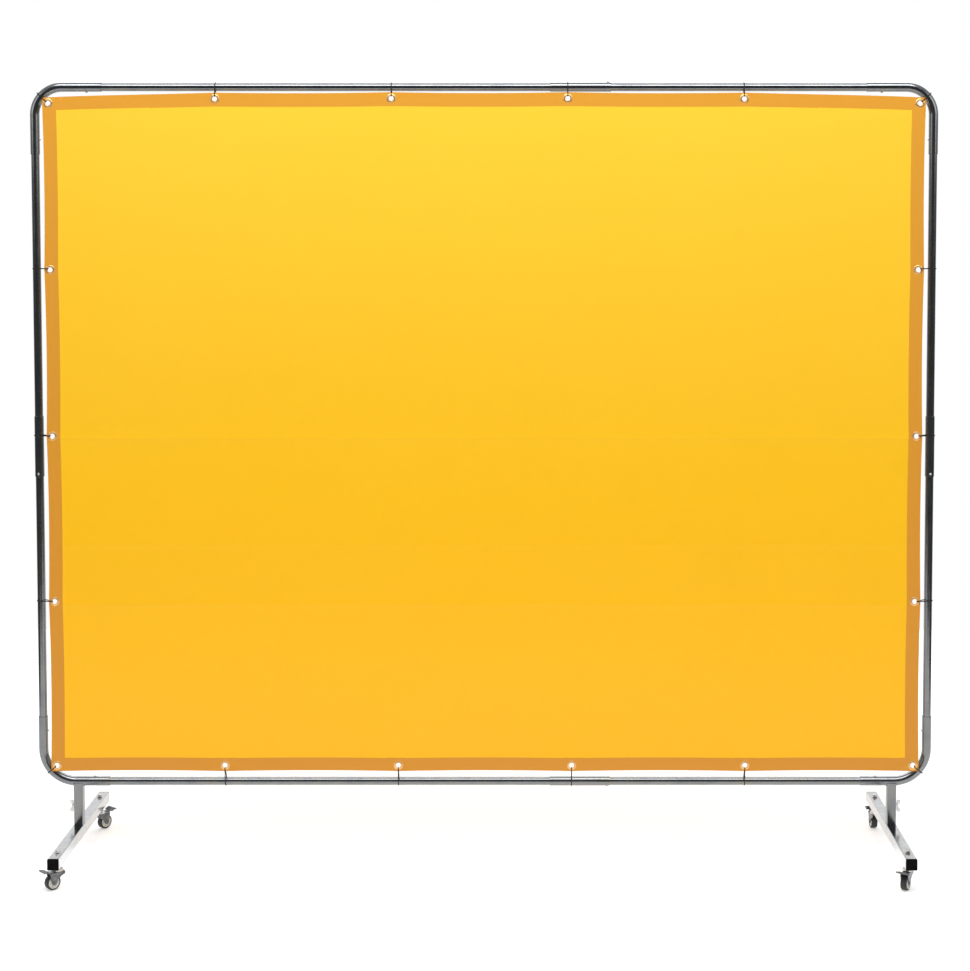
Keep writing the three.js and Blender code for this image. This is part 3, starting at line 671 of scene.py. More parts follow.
leg_length = BOTTOM - LEG_FOOT - SLEEVE_RADIUS * 0.35
for name, side in SIDES.items():
    x = middle_of(f"{name}_foot_rail").x
    node = f"bottom_{name}_corner"
    leg = square_tube(f"{name}_leg", LEG, 1.5 * MM, 2.5 * MM, leg_length)
    put(leg, POST_ZINC, "root", node, at=(x, 0, LEG_FOOT))
    inside = (x + side * 8 * MM, 0, middle_of(f"{name}_wing_screw").z)
    bore(leg, inside, Vector((side, 0, 0)), 4.3 * MM, 8 * MM)
    smooth(leg)
    bead = weld_bead(f"{name}_leg_weld", weld_line(LEG / 2, SLEEVE_RADIUS, BOTTOM), 1.4 * MM)
    smooth(bead, 80)
    put(bead, PRESSED_ZINC, "root", node, at=(x, 0, 0))
print("legs from", round(LEG_FOOT, 4), "to", round(BOTTOM, 4))

# %% [markdown]
# ## Foot rails
# Each foot is a length of 30 mm square tube, with a smaller square spigot welded upright
# on it that goes up inside the leg.

# %% Foot rails
FOOT, SPIGOT, SUNK = 30 * MM, 21.4 * MM, 0.5 * MM
for name in SIDES:
    node = f"{name}_foot_rail"
    low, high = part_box(node)
    x = (low.x + high.x) / 2
    rail = square_tube(f"{name}_foot", FOOT, 2 * MM, 3 * MM, high.y - low.y)
    smooth(rail)
    put(rail, GALVANISED, "root", node, turn("X", -90),
        (x, low.y, FOOT_TOP - FOOT / 2))
    spigot = square_tube(f"{name}_foot_spigot", SPIGOT, 2 * MM, 2 * MM, high.z - FOOT_TOP + SUNK)
    smooth(spigot)
    put(spigot, GALVANISED, "root", node, at=(x, 0, FOOT_TOP - SUNK))
print("feet", round(high.y - low.y, 3), "long, top at", round(FOOT_TOP, 4))

# %% [markdown]
# ## End caps
# A push-in cap has a face as big as the tube and a plug behind it. From a bevelled block,
# the back face is inset and pulled to make the plug, and the front one is inset and
# pushed in a little, which leaves the raised margin that a moulded cap has.

# %% End caps
cap = start("end_cap", bpy.ops.mesh.primitive_cube_add, size=1, location=(0, 1.5 * MM, 0),
            scale=(FOOT, 3 * MM, FOOT))
pick("EDGE", lambda middle, direction: abs(direction.y) > 1 * MM)
bpy.ops.mesh.bevel(offset=3 * MM, segments=5, affect="EDGES")
pick("FACE", lambda middle, direction: direction.y > 0.9)
bpy.ops.mesh.inset(thickness=2.3 * MM)
pull(0, 12 * MM, 0)
pick("FACE", lambda middle, direction: direction.y < -0.9)
bpy.ops.mesh.inset(thickness=2 * MM)
bpy.ops.transform.translate(value=(0, 0.35 * MM, 0))
outward()
soften(cap, 0.5 * MM, 40)
smooth(cap)
for name in SIDES:
    for end in ("front", "rear"):
        node = f"{name}_{end}_cap"
        low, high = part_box(node)
        y, angle = (low.y, 0) if end == "front" else (high.y, 180)
        put(copy_of(cap, node + "_moulding"), CAP_PLASTIC, "root", node,
            turn("Z", angle), (middle_of(node).x, y, FOOT_TOP - FOOT / 2))
bpy.data.objects.remove(cap)

# %% [markdown]
# ## Wing screws
# A cast wing screw has a round boss with two rounded wings that stand out from it. The
# boss and shank are turned, and the wings are one plate with well-rounded edges.

# %% Wing screws
low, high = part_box("right_wing_screw")
reach = (high.z - low.z) / 2 / MM
boss = turned("wing_screw_boss", [
    (0, -1.8), (3.4, -1.8), (4, -1.2), (4, 0), (7, 0), (7, 0.8), (5.8, 4.6), (4.8, 6.4), (3, 7),
    (0, 7.1),
], 32)
wing = arc(reach - 5, 8.6, 5, -80, 140, 12)
outline = [(0, 1.5), *wing, (0, 6.2), *[(-x, y) for x, y in reversed(wing)]]
wings = plate("wing_screw_wings", outline, 3)
wings.data.transform(Matrix.Translation((0, 1.5 * MM, 0)) @ turn("X", 90))
soften(wings, 1 * MM, 40, 4)
screw = join([boss, wings], "wing_screw")
smooth(screw, 45)
for name, side in SIDES.items():
    node = f"{name}_wing_screw"
    shoulder = middle_of(f"{name}_foot_rail").x + side * (LEG / 2 + 0.3 * MM)
    put(copy_of(screw, node + "_casting"), TURNED_ZINC, node, node,
        turn("Y", side * 90), (shoulder, 0, middle_of(node).z))
bpy.data.objects.remove(screw)
print("wing screws", round(reach * 2, 1), "mm across")

# %% [markdown]
# ## Where each caster stands
# A caster's pieces are modelled in its own frame: the stem is the Z axis, the floor is at
# z = 0, the wheel trails towards -Y and its axle is along X. Where the stem is, and which
# way the wheel trails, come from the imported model. A matrix then takes a piece from that
# frame to its place, and the pressed plates need one more turn, from lying flat to
# standing on edge.

# %% Casters' places
CASTERS = {}
for name in ("front_left", "front_right", "rear_left", "rear_right"):
    stem, wheel = middle_of(f"{name}_caster_stem"), middle_of(f"{name}_caster_wheel")
    trail = wheel - stem
    heading = math.degrees(math.atan2(trail.x, -trail.y))
    CASTERS[name] = (turn("Z", heading), Vector((stem.x, stem.y, 0)))
    print(name, "trails at", round(heading, 1))
WHEEL_TRAIL, WHEEL = math.hypot(trail.x, trail.y) / MM, 20
ON_EDGE = turn("Z", 90) @ turn("X", 90)
STEM_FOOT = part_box("front_left_caster_stem")[0].z / MM
print("trail", round(WHEEL_TRAIL, 2), "stem foot", round(STEM_FOOT, 2))


def put_on_casters(piece, part, finish):
    """Copies a piece to all four casters, riding on that part of each."""
    for name, (turned_by, at) in CASTERS.items():
        node = f"{name}_caster_{part}"
        body = "root" if part == "stem" else node
        put(copy_of(piece, f"{name}_{piece.name}"), finish, body, node, turned_by, at)
    bpy.data.objects.remove(piece)


# %% [markdown]
# ## Stem, ball race and cap nut
# The stem goes up through the foot rail to a domed cap nut. Below the rail is a collar
# and the ball race, two pressed cups whose edges meet in a groove. All of it is one
# turned profile, apart from the nut's hexagon, which is a ring of six sides.

# %% Caster stems
stem = turned("race_and_stem", [
    (0, STEM_FOOT), (4.6, STEM_FOOT), (5.8, STEM_FOOT + 0.6), (6, 44.9), (4, 44.9), (4, 47.3),
    (13.2, 47.3), (14, 48.0), (14, 49.9), (13.4, 50.4), (12.9, 50.7), (13.3, 51.0), (13.5, 51.6),
    (13.1, 52.8), (11.6, 53.8), (9, 54.2), (8, 54.8), (8, 63.1), (7.5, 63.7), (4, 63.7), (4, 94.3),
    (7, 94.3), (7, 95.2), (4, 95.2), (4, 98.7), (5.7, 98.7), (5.4, 100.5), (4.4, 101.9), (2.5, 102.6),
    (0, 102.8),
], 40)
hexagon = turned("nut", [(0, 95.2), (6.9, 95.2), (6.9, 98.8), (0, 98.8)], 6)
soften(hexagon, 0.45 * MM, 40)
stem = join([stem, hexagon], "race_and_stem")
smooth(stem, 40)
put_on_casters(stem, "stem", TURNED_ZINC)

# %% [markdown]
# ## The pressed fork
# A fork is blanked from sheet and bent down at both sides. Bending a cut blank is hard to
# draw, but the result is easy: it is a channel with round bends, cut to the leaf shape
# that its side view has. So the channel is pulled from its section, and a boolean keeps
# only what lies inside a thick leaf. The stem's hole is bored, and rivet heads are added.

# %% Fork
section = [
    (-11, 12), *arc(-8, 44, 3, 180, 90, 6), *arc(8, 44, 3, 90, 0, 6), (11, 12),
    (9.2, 12), *arc(8, 44, 1.2, 0, 90, 4), *arc(-8, 44, 1.2, 90, 180, 4), (-9.2, 12),
]
fork = plate("fork", section, 46)
fork.data.transform(Matrix.Translation((0, 16 * MM, 0)) @ turn("X", 90))
leaf = plate("leaf", [
    (12.5, 48), (-24.5, 48), *arc(-24.5, 44.5, 2.5, 90, 180, 4), (-27, 40.5), (-26.2, 38),
    *arc(-WHEEL_TRAIL, WHEEL, 6.6, 188, 342, 14), (-3, 28.6), (3, 33.6), (9, 36.6), (13.4, 37.6),
    *arc(12.5, 40, 2.4, -70, 0, 4), (14.9, 45.6), (14.2, 47.2),
], 30)
leaf.data.transform(Matrix.Translation((-15 * MM, 0, 0)) @ ON_EDGE)
modify(fork, "BOOLEAN", operation="INTERSECT", object=leaf, solver="EXACT")
bpy.data.objects.remove(leaf)
bore(fork, (0, 0, 44 * MM), Vector((0, 0, 1)), 4.3 * MM, 5 * MM)
soften(fork, 0.35 * MM, 50)

BEHIND_AXLE, PIN_TO_AXLE = 7, 25.5
PIN_Y = -WHEEL_TRAIL - BEHIND_AXLE
PIN_Z = WHEEL + math.sqrt(PIN_TO_AXLE ** 2 - BEHIND_AXLE ** 2)
rivets = []
for y, z, pin, head in ((-WHEEL_TRAIL, WHEEL, 3, 4.6), (PIN_Y, PIN_Z, 2, 3.1)):
    rivet = turned("rivet", [
        (0, -12.6), (head * 0.55, -12.5), (head * 0.9, -11.9), (head, -11.05), (pin, -11), (pin, 11),
        (head, 11.05), (head * 0.9, 11.9), (head * 0.55, 12.5), (0, 12.6),
    ], 28)
    rivet.data.transform(Matrix.Translation((0, y * MM, z * MM)) @ turn("Y", 90))
    rivets.append(rivet)
fork = join([fork, *rivets], "pressed_fork")
smooth(fork, 40)
put_on_casters(fork, "fork", PRESSED_ZINC)

# %% [markdown]
# ## Wheel and tyre
# A white plastic hub carries a dark grey rubber tyre that is moulded on it. Both are made
# as turned rings.
# The hub has a thin web between its boss and its rim, with six ribs on each side to
# stiffen it, and the tyre's tread is slightly crowned with rounded shoulders.

# %% Wheels
hub = turned("hub", [
    (3.3, -8.9), (5.6, -8.9), (6, -8.5), (6.2, -3.4), (13, -3), (13.5, -7.6), (14, -8.1),
    (15, -8.1), (15, 8.1), (14, 8.1), (13.5, 7.6), (13, 3), (6.2, 3.4), (6, 8.5), (5.6, 8.9),
    (3.3, 8.9), (3.3, -8.9),
], 48)
ribs = []
rib = start("rib", bpy.ops.mesh.primitive_cube_add, size=1, location=(9.6 * MM, 0, 0),
            scale=(7.6 * MM, 1.3 * MM, 12 * MM))
soften(rib, 0.3 * MM, 40, 1)
for step in range(6):
    spoke = copy_of(rib, "rib_copy")
    spoke.data.transform(turn("Z", 60 * step))
    ribs.append(spoke)
bpy.data.objects.remove(rib)
hub = join([hub, *ribs], "wheel_hub")
smooth(hub, 40)
tyre = turned("tyre", [
    (14.9, -8.2), (17.2, -8.5), (18.6, -8.1), (19.5, -7.1), (19.9, -5.2), (WHEEL, -2.5),
    (WHEEL, 2.5), (19.9, 5.2), (19.5, 7.1), (18.6, 8.1), (17.2, 8.5), (14.9, 8.2), (14.9, -8.2),
], 64)
smooth(tyre, 50)
for piece, finish in ((hub, HUB_PLASTIC), (tyre, TYRE_RUBBER)):
    piece.data.transform(Matrix.Translation((0, -WHEEL_TRAIL * MM, WHEEL * MM)) @ turn("Y", 90))
    put_on_casters(piece, "wheel", finish)

# %% [markdown]
# ## Brake pedal
# The pedal turns on its own pin above the tyre, and its shoe comes down on the tread. The
# lever is a short wide block behind the fork's legs, and the tread is a strip that is
# bent up and has its lip turned down. Three pressed ribs give the toe some grip.

# %% Pedals
lever = plate("lever", [
    *arc(0, 0, 3.7, 27, 108, 8), (-7.7, 5.6), (-7.7, 3.6), (-3.7, -0.5), (-0.84, -5.23), (1.2, -4.6),
    (2.6, -2.6),
], 17.8)
lever.data.transform(Matrix.Translation((-8.9 * MM, 0, 0)) @ ON_EDGE)
bore(lever, (-10 * MM, 0, 0), Vector((1, 0, 0)), 2.3 * MM, 20 * MM)
soften(lever, 0.3 * MM, 40)
tread = plate("tread", [
    (-6.6, 5.7), (-18.6, 9.9), (-21.8, 10), (-22.8, 9.4), (-23, 8.4), (-23, 6.4), (-21.4, 6.4),
    (-21.3, 7.9), (-21, 8.2), (-18.9, 8.1), (-7.1, 3.9),
], 34)
tread.data.transform(Matrix.Translation((-17 * MM, 0, 0)) @ ON_EDGE)
only(tread)
bpy.ops.object.mode_set(mode="EDIT")
pick("EDGE", lambda middle, direction: (
    abs(middle.x) > 16.9 * MM and middle.y < -22.9 * MM and abs(direction.z) > 1 * MM))
bpy.ops.mesh.bevel(offset=1.4 * MM, segments=4, affect="EDGES")
soften(tread, 0.35 * MM, 40)
TREAD_START, TREAD_HEIGHT, TREAD_SLOPE = 6.6, 5.55, 0.352
grips = []
for along in (9.5, 13, 16.5):
    up = TREAD_HEIGHT + (along - TREAD_START) * TREAD_SLOPE
    grip = turned("grip", [(0, -12.4), (0.8, -12), (1, -11), (1, 11), (0.8, 12), (0, 12.4)], 12)
    grip.data.transform(Matrix.Translation((0, -along * MM, up * MM)) @ turn("Y", 90))
    grips.append(grip)
pedal = join([lever, tread, *grips], "brake_pedal")
smooth(pedal, 40)
pedal.data.transform(Matrix.Translation((0, PIN_Y * MM, PIN_Z * MM)))
put_on_casters(pedal, "brake", PRESSED_ZINC)

# %% [markdown]
# ## Eyelets' places
# The curtain has eighteen eyelets, 16 mm in from its edge. Four stand between the corners
# along the top and the bottom, 473 mm apart, and three down each side. The top four are
# 12 mm to the left of the bottom ones.

# %% Eyelets' places
low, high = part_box("curtain")
SHEET_Y = (low.y + high.y) / 2
SHEET_HALF, SHEET_BOTTOM, SHEET_TOP = high.x, low.z, high.z
INSET, PITCH, TOP_SHIFT = 16 * MM, 473, -12
EYE_X, EYE_TOP, EYE_BOTTOM = SHEET_HALF - INSET, SHEET_TOP - INSET, SHEET_BOTTOM + INSET
FOUR = (-1.5, -0.5, 0.5, 1.5)
TOP_X = [-EYE_X, *[(TOP_SHIFT + step * PITCH) * MM for step in FOUR], EYE_X]
BOTTOM_X = [-EYE_X, *[step * PITCH * MM for step in FOUR], EYE_X]
SIDE_Z = [EYE_BOTTOM + (EYE_TOP - EYE_BOTTOM) * row / 4 for row in range(5)]
EYELETS = [(x, EYE_TOP) for x in TOP_X] + [(x, EYE_BOTTOM) for x in BOTTOM_X]
EYELETS += [(side * EYE_X, z) for z in SIDE_Z[1:4] for side in (-1, 1)]
print(len(EYELETS), "eyelets, side heights", [round(z, 3) for z in SIDE_Z])

# %% [markdown]
# ## How the film hangs
# The film is pulled out at its eyelets, so between two of them its edge draws in by a few
# millimetres. The corner ties pull aslant, so the upper corners hang lower than the
# middle of the upper edge. The film also remembers how it was folded in its packet, as
# faint creases across it, it has a short wrinkle at the upper left, and it is a little
# loose, most of all near the bottom. One function says where a point of the flat film
# hangs, so that the sheet, its hems and its eyelets all follow it.

# %% Shape of the hung film
DRAW, SIDE_DRAW, DRAW_REACH = 2.6 * MM, 3.0 * MM, 90 * MM
CORNER_DROP, TOP_LIFT = 15 * MM, 5 * MM
CREASE_DEPTH, CREASE_WIDTH = 1.5 * MM, 9 * MM
CREASES = [  # height, left end, right end, strength
    (1.619, 0.29, 0.59, 0.5),
    (1.158, -1.2, 1.2, 1.1),
    (0.866, -1.2, 1.2, 0.55),
    (0.703, -1.2, 1.2, 0.6),
]
WRINKLE_X, WRINKLE_Z, WRINKLE_DEPTH = -1.03, 1.708, 1.3 * MM
LOOSE_LOW, LOOSE_ALL = 2.2 * MM, 0.7 * MM


def between(places, value):
    """0 at an eyelet and 1 midway between two of them."""
    for first, second in zip(places, places[1:]):
        if first <= value <= second:
            share = (value - first) / (second - first)
            return 4 * share * (1 - share)
    return 0.0


def creases_and_wrinkle(x, z):
    """How far they stand out of the film."""
    depth = 0.0
    for height, begin, end, strength in CREASES:
        ends = 1 / (1 + math.exp((begin - x) / 0.03)) / (1 + math.exp((x - end) / 0.03))
        wander = 2 * MM * noise.noise(Vector((x * 3, height, 0)))
        depth += (strength * CREASE_DEPTH * ends
                  * math.exp(-abs(z - height - wander) / CREASE_WIDTH))
    right, up = x - WRINKLE_X, z - WRINKLE_Z
    across, along = (right - up) / math.sqrt(2), (right + up) / math.sqrt(2)
    return depth + WRINKLE_DEPTH * math.exp(-(across / 0.008) ** 2 - (along / 0.07) ** 2)


def looseness(x, z):
    """How far the film bellies out, which is nothing at its edges."""
    edge = min(SHEET_HALF - abs(x), SHEET_TOP - z, z - SHEET_BOTTOM)
    loose = min(max((edge - 45 * MM) / 0.2, 0), 1)
    low_down = min(max((0.95 - z) / 0.5, 0), 1)
    swell = noise.noise(Vector((x * 3.1 + z * 1.2, z * 1.3, 4.0)))
    return loose * (LOOSE_LOW * low_down + LOOSE_ALL) * swell


def hung(x, z):
    """Where a point of the flat film hangs."""
    draw_top = DRAW * between(TOP_X, x) * math.exp((z - SHEET_TOP) / DRAW_REACH)
    draw_bottom = DRAW * between(BOTTOM_X, x) * math.exp((SHEET_BOTTOM - z) / DRAW_REACH)
    draw_side = SIDE_DRAW * between(SIDE_Z, z) * math.exp((abs(x) - SHEET_HALF) / DRAW_REACH)
    near_top = math.exp((z - SHEET_TOP) / 0.4)
    drop = near_top * (CORNER_DROP * math.exp((abs(x) - SHEET_HALF) / 0.2) - TOP_LIFT)
    depth = creases_and_wrinkle(x, z) + looseness(x, z)
    return Vector((x - math.copysign(draw_side, x), SHEET_Y - depth,
                   z - draw_top - drop + draw_bottom))


# %% [markdown]
# ## The curtain
# The film is a grid whose rows and columns stand closer together where a crease or the
# wrinkle is. Its points go to where the film hangs, it gets a thickness, and the faces
# within the hem take the hem's finish. The holes for the eyelets are cut last, all at
# once, with one set of pins.

# %% Curtain film
HEM, HEM_BEHIND, FILM, GRID = 37 * MM, 0.55 * MM, 0.5 * MM, 18 * MM


def spread(begin, end, pitch, extra=()):
    """Places from begin to end about a pitch apart, and the extra ones among them."""
    count = round((end - begin) / pitch)
    places = {round(begin + (end - begin) * step / count, 6) for step in range(count + 1)}
    return sorted(places | {round(value, 6) for value in extra if begin < value < end})


def hanging_sheet(name, columns, rows, behind):
    """A film over those columns and rows, hung, and set back by a distance."""
    piece = start(name, bpy.ops.mesh.primitive_grid_add, x_subdivisions=len(columns) - 1,
                  y_subdivisions=len(rows) - 1, size=2)
    shape = bmesh.from_edit_mesh(piece.data)
    for vertex in shape.verts:
        column = round((vertex.co.x + 1) / 2 * (len(columns) - 1))
        row = round((vertex.co.y + 1) / 2 * (len(rows) - 1))
        vertex.co = hung(columns[column], rows[row]) + Vector((0, behind, 0))
    bmesh.update_edit_mesh(piece.data)
    bpy.ops.object.mode_set(mode="OBJECT")
    modify(piece, "SOLIDIFY", thickness=FILM, offset=0)
    return piece


CLOSE = (-18, -12, -8, -5, -2.5, 0, 2.5, 5, 8, 12, 18)
crease_rows = [height + step * MM for height, *_ in CREASES for step in CLOSE]
wrinkle_columns = [WRINKLE_X + step * 8 * MM for step in range(-9, 10)]
wrinkle_rows = [WRINKLE_Z + step * 8 * MM for step in range(-9, 10)]
inner_x, inner_top, inner_bottom = SHEET_HALF - HEM, SHEET_TOP - HEM, SHEET_BOTTOM + HEM
columns = spread(-SHEET_HALF, SHEET_HALF, GRID, [-inner_x, inner_x, *wrinkle_columns])
rows = spread(SHEET_BOTTOM, SHEET_TOP, GRID, [inner_bottom, inner_top, *crease_rows, *wrinkle_rows])
curtain = hanging_sheet("curtain_film", columns, rows, 0)
curtain.data.materials.append(VINYL)
curtain.data.materials.append(HEM_VINYL)
for face in curtain.data.polygons:
    x, _, z = face.center
    face.material_index = int(abs(x) > inner_x - 2 * MM or z > inner_top or z < inner_bottom)
print("film", len(columns), "by", len(rows), "faces", len(curtain.data.polygons))

# %% [markdown]
# ## Hems
# The turned-in layer of each hem is a strip of the same film, close behind the sheet. The
# top and bottom strips run the full width, and the side strips fit between them.

# %% Hems
HEMS = {
    "top_hem": (-SHEET_HALF, SHEET_HALF, inner_top, SHEET_TOP),
    "bottom_hem": (-SHEET_HALF, SHEET_HALF, SHEET_BOTTOM, inner_bottom),
    "left_hem": (-SHEET_HALF, -inner_x, inner_bottom, inner_top),
    "right_hem": (inner_x, SHEET_HALF, inner_bottom, inner_top),
}
hems = []
for name, (left, right, bottom, top) in HEMS.items():
    hem = hanging_sheet(name, spread(left, right, GRID), spread(bottom, top, GRID), HEM_BEHIND)
    hems.append(put(hem, HEM_VINYL, "root"))

# %% Holes through the film and the hems
pins = []
for x, z in EYELETS:
    pin = turned("pin", [(0, -6), (7.4, -6), (7.4, 6), (0, 6)], 28)
    spot = hung(x, z)
    pin.data.transform(Matrix.Translation((spot.x, spot.y, spot.z)) @ turn("X", 90))
    pins.append(pin)
pins = join(pins, "eyelet_pins")
for piece in (curtain, *hems):
    modify(piece, "BOOLEAN", operation="DIFFERENCE", object=pins, solver="EXACT")
    smooth(piece, 60)
bpy.data.objects.remove(pins)
put(curtain, None, "root", "curtain")
print("curtain faces", len(curtain.data.polygons))

# %% [markdown]
# ## Eyelets
# An eyelet is a barrel with a rolled flange in front, clenched over a flatter washer
# behind. It is one turned ring, copied to each hole.

# %% Eyelets
EYE_RADIUS = 6.5
ring = turned("eyelet", [
    (EYE_RADIUS, -0.2), (6.6, 0.9), (7.4, 1.6), (8.6, 1.8), (10.4, 1.4), (11.9, 0.8), (12.4, 0.35),
    (12.1, 0.27), (7.3, 0.27), (7.3, -0.82), (11.8, -0.82), (12, -1.0), (11.6, -1.3), (8.4, -1.7),
    (7.2, -1.6), (6.6, -1.1), (EYE_RADIUS, -0.2),
], 40)
smooth(ring, 50)
for number, (x, z) in enumerate(EYELETS, 1):
    eyelet = copy_of(ring, f"eyelet_{number:02d}")
    put(eyelet, NICKEL_AND_FILM_REFLECTION, "root", turned_by=turn("X", 90),
                       at=hung(x, z))
bpy.data.objects.remove(ring)

# %% [markdown]
# ## Cable ties
# A tie goes round the tube, through the eyelet and back to its own head. Seen along the
# tube it is a belt round two circles, the tube and the fold at the eyelet's lip, so both
# its inside and outside are such belts. They are bridged and pulled to the strap's width.
# The head is a small bevelled block that is turned a quarter round the tube, to the back
# of the screen, and the cut tail stands out of it.

# %% Ties
FOLD, STRAP, STRAP_WIDTH, HEAD = 2.6, 1.0, 2.6, 4.6


def belt(tube_radius, fold_x, fold_radius):
    """The outline of a belt round the tube, at the origin, and the fold."""
    fold_y = SHEET_Y / MM
    apart = math.hypot(fold_x, fold_y)
    heading = math.degrees(math.atan2(fold_y, fold_x))
    lean = math.degrees(math.acos((tube_radius - fold_radius) / apart))
    return (arc(0, 0, tube_radius, heading + lean, heading + 360 - lean, 40)
            + arc(fold_x, fold_y, fold_radius, heading - lean, heading + lean, 14))


def outline_loop(points, first):
    """Puts the ring of new points that starts at that index on an outline."""
    shape = bmesh.from_edit_mesh(bpy.context.active_object.data)
    shape.verts.ensure_lookup_table()
    for vertex, (x, y) in zip(shape.verts[first:first + len(points)], points):
        vertex.co = (x * MM, y * MM, -STRAP_WIDTH / 2 * MM)
    bmesh.update_edit_mesh(bpy.context.active_object.data)


def cable_tie(name, clear, eyelet_distance):
    """A closed tie. The tube is along Z at the origin, and the eyelet lies to -X."""
    fold_x = FOLD - (eyelet_distance - EYE_RADIUS) - 0.5
    inner, outer = belt(clear, fold_x, FOLD), belt(clear + STRAP, fold_x, FOLD + STRAP)
    strap = start(name, bpy.ops.mesh.primitive_circle_add, vertices=len(inner))
    outline_loop(inner, 0)
    bpy.ops.mesh.select_all(action="DESELECT")
    bpy.ops.mesh.primitive_circle_add(vertices=len(outer))
    outline_loop(outer, len(inner))
    bpy.ops.mesh.select_all(action="SELECT")
    bpy.ops.mesh.bridge_edge_loops()
    bpy.ops.mesh.select_all(action="SELECT")
    pull(0, 0, STRAP_WIDTH * MM)
    outward()
    soften(strap, 0.25 * MM, 50, 1)
    head_x = clear + STRAP / 3 + HEAD / 2
    head = start("head", bpy.ops.mesh.primitive_cube_add, size=HEAD * MM,
                 location=(head_x * MM, 0, 0))
    pick("FACE", lambda middle, direction: direction.x > 0.9)
    bpy.ops.mesh.inset(thickness=1 * MM)
    bpy.ops.transform.translate(value=(-0.6 * MM, 0, 0))
    soften(head, 0.5 * MM, 40)
    tail = start("tail", bpy.ops.mesh.primitive_cube_add, size=1, scale=(7 * MM, 1 * MM, 2.5 * MM),
                 location=((head_x + 5.4) * MM, 0, 0))
    soften(tail, 0.25 * MM, 40)
    for piece in (head, tail):
        piece.data.transform(turn("Z", 90))
    tie = join([strap, head, tail], name)
    smooth(tie, 40)
    return tie


RAIL_CLEAR, SLEEVE_CLEAR, CORNER_CLEAR = 11.5, 13.0, 14.4
side_gap = (HALF - EYE_X) / MM


def lace(name, tie, turned_by, at):
    node = name if name in frame["nodes"] else None
    put(tie, NYLON, "root", node, turned_by, at)


for edge, places, height, eyelet_height, angle in (
        ("top", TOP_X[1:5], TOP, EYE_TOP, -90),
        ("bottom", BOTTOM_X[1:5], BOTTOM, EYE_BOTTOM, 90)):
    for spot, x in zip(("outer_left", "inner_left", "inner_right", "outer_right"), places):
        clear = SLEEVE_CLEAR if spot == "inner_right" else RAIL_CLEAR
        distance = abs(height - hung(x, eyelet_height).z) / MM
        name = f"{edge}_{spot}_tie"
        lace(name, cable_tie(name + "_strap", clear, distance), turn("Y", angle), (x, 0, height))
for edge, side in SIDES.items():
    for spot, z in zip(("lower", "middle", "upper"), SIDE_Z[1:4]):
        clear = SLEEVE_CLEAR if spot == "middle" else RAIL_CLEAR
        name = f"{edge}_{spot}_tie"
        angle = 180 if edge == "left" else 0
        lace(name, cable_tie(name + "_strap", clear, side_gap), turn("Y", angle),
             (side * HALF, 0, z))

# %% [markdown]
# ## Ties at the corners
# At a corner the eyelet is nearest to the bend, so the tie goes round the bend there, and
# over the curtain's own corner too. It lies on the line from the bend's centre through
# the eyelet.

# %% Corner ties
for node, (bend, _, side, height) in CORNERS.items():
    up = 1 if height == TOP else -1
    centre = Vector((side * (HALF - bend), 0, height - up * bend))
    eyelet = hung(side * EYE_X, EYE_TOP if up > 0 else EYE_BOTTOM)
    out = Vector((eyelet.x, 0, eyelet.z)) - centre
    name = node.replace("_corner", "_tie")
    tie = cable_tie(name + "_strap", CORNER_CLEAR, (bend - out.length) / MM)
    aim = turn("Y", -math.degrees(math.atan2(out.z, out.x)))
    lace(name, tie, aim, centre + out.normalized() * bend)

# %% [markdown]
# ## Floor
# The floor is painted white, and glows a little itself, so that it meets the white
# backdrop without a line. It is only as big as a studio's, because bright plating shows
# everything round it, and an endless white floor would turn the tubes white.

# %% Floor
floor = start("floor", bpy.ops.mesh.primitive_plane_add, size=5.6)
bpy.ops.object.mode_set(mode="OBJECT")
WHITE = (1, 1, 1, 1)
FLOOR_WHITE, _, _ = new_material("white studio floor, painted", 0xF2F2F2, Roughness=0.7,
                                 Emission_Color=WHITE, Emission_Strength=0.34)
floor.data.materials.append(FLOOR_WHITE)

# %% [markdown]
# ## Backdrop and light
# To the eye the backdrop is plain white. Mirror-like metal is lit by what it reflects, so
# it gets a room of its own: a dark wall where the camera stands, side walls that are pale
# above eye height, and white above and at the back. Everything else is filled by an even
# soft light, with four large soft lights for shape.

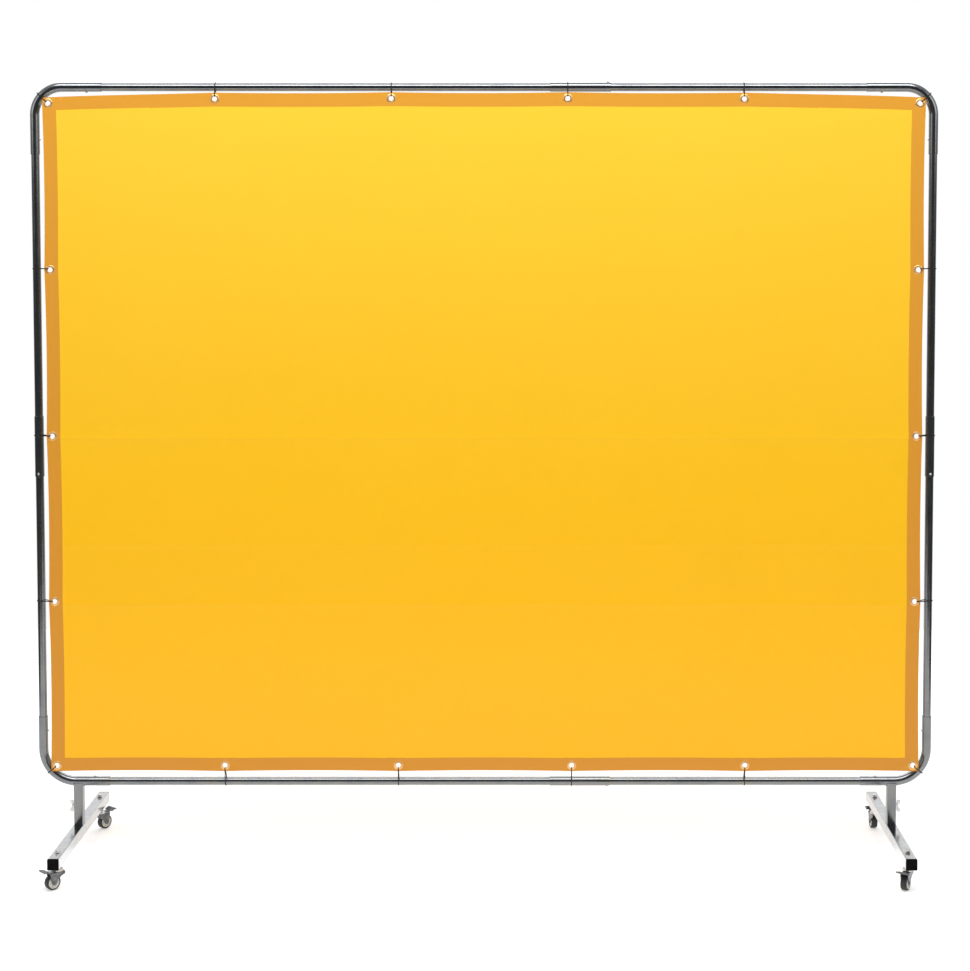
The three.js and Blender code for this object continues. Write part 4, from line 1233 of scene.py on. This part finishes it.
# %% World
world = bpy.data.worlds.new("studio")
bpy.context.scene.world = world
world.use_nodes = True
tree = world.node_tree
tree.nodes.clear()
sky = add_node(tree, "ShaderNodeTexCoord")
way = add_node(tree, "ShaderNodeSeparateXYZ", {"Vector": sky.outputs["Generated"]})
above = add_node(tree, "ShaderNodeValToRGB", {"Fac": way.outputs["Z"]}, [(0.5, 0.1), (0.9, 0.9)])
behind = add_node(tree, "ShaderNodeValToRGB", {"Fac": way.outputs["Y"]}, [(0.2, 0.0), (0.65, 1.0)])
aside = add_node(tree, "ShaderNodeMath", {0: way.outputs["X"]}, operation="ABSOLUTE")
beside = add_node(tree, "ShaderNodeValToRGB", {"Fac": aside.outputs["Value"]},
                  [(0.35, 0.0), (0.7, 0.7)])
upper = add_node(tree, "ShaderNodeValToRGB", {"Fac": way.outputs["Z"]}, [(0.0, 0.0), (0.07, 1.0)])
sides = add_node(tree, "ShaderNodeMath", {0: beside.outputs["Color"], 1: upper.outputs["Color"]},
                 operation="MULTIPLY")
walls = add_node(tree, "ShaderNodeMath", {0: above.outputs["Color"], 1: behind.outputs["Color"]},
                 operation="MAXIMUM")
walls = add_node(tree, "ShaderNodeMath", {0: walls.outputs["Value"], 1: sides.outputs["Value"]},
                 operation="MAXIMUM")
room = add_node(tree, "ShaderNodeBackground", {"Color": walls.outputs["Value"], "Strength": 1.0})
fill = add_node(tree, "ShaderNodeBackground", {"Color": WHITE, "Strength": 0.56})
backdrop = add_node(tree, "ShaderNodeBackground", {"Color": WHITE, "Strength": 1.0})
ray = add_node(tree, "ShaderNodeLightPath")
lit = add_node(tree, "ShaderNodeMixShader", {
    "Fac": ray.outputs["Is Glossy Ray"], 1: fill.outputs["Background"], 2: room.outputs["Background"]})
either = add_node(tree, "ShaderNodeMixShader", {
    "Fac": ray.outputs["Is Camera Ray"], 1: lit.outputs["Shader"], 2: backdrop.outputs["Background"]})
add_node(tree, "ShaderNodeOutputWorld", {"Surface": either.outputs["Shader"]})


# %% Lights
def soft_light(name, at, aim, size, power):
    light = bpy.data.lights.new(name, "AREA")
    light.shape, light.size, light.size_y, light.energy = "RECTANGLE", size[0], size[1], power
    lamp = bpy.data.objects.new(name, light)
    bpy.context.scene.collection.objects.link(lamp)
    lamp.location = at
    lamp.rotation_euler = (Vector(aim) - Vector(at)).to_track_quat("-Z", "Y").to_euler()


soft_light("overhead", (0, -1.6, 4.3), (0, 0, 1.3), (4.5, 1.4), 120)
soft_light("left", (-4.2, -2.6, 3.1), (0, 0, 1.4), (2.4, 2.0), 18)
soft_light("right", (4.2, -2.6, 3.1), (0, 0, 1.4), (2.4, 2.0), 22)
soft_light("behind", (0, 3.2, 3.6), (0, 0, 1.4), (4.5, 1.6), 85)
bpy.context.scene.view_settings.view_transform = "Standard"
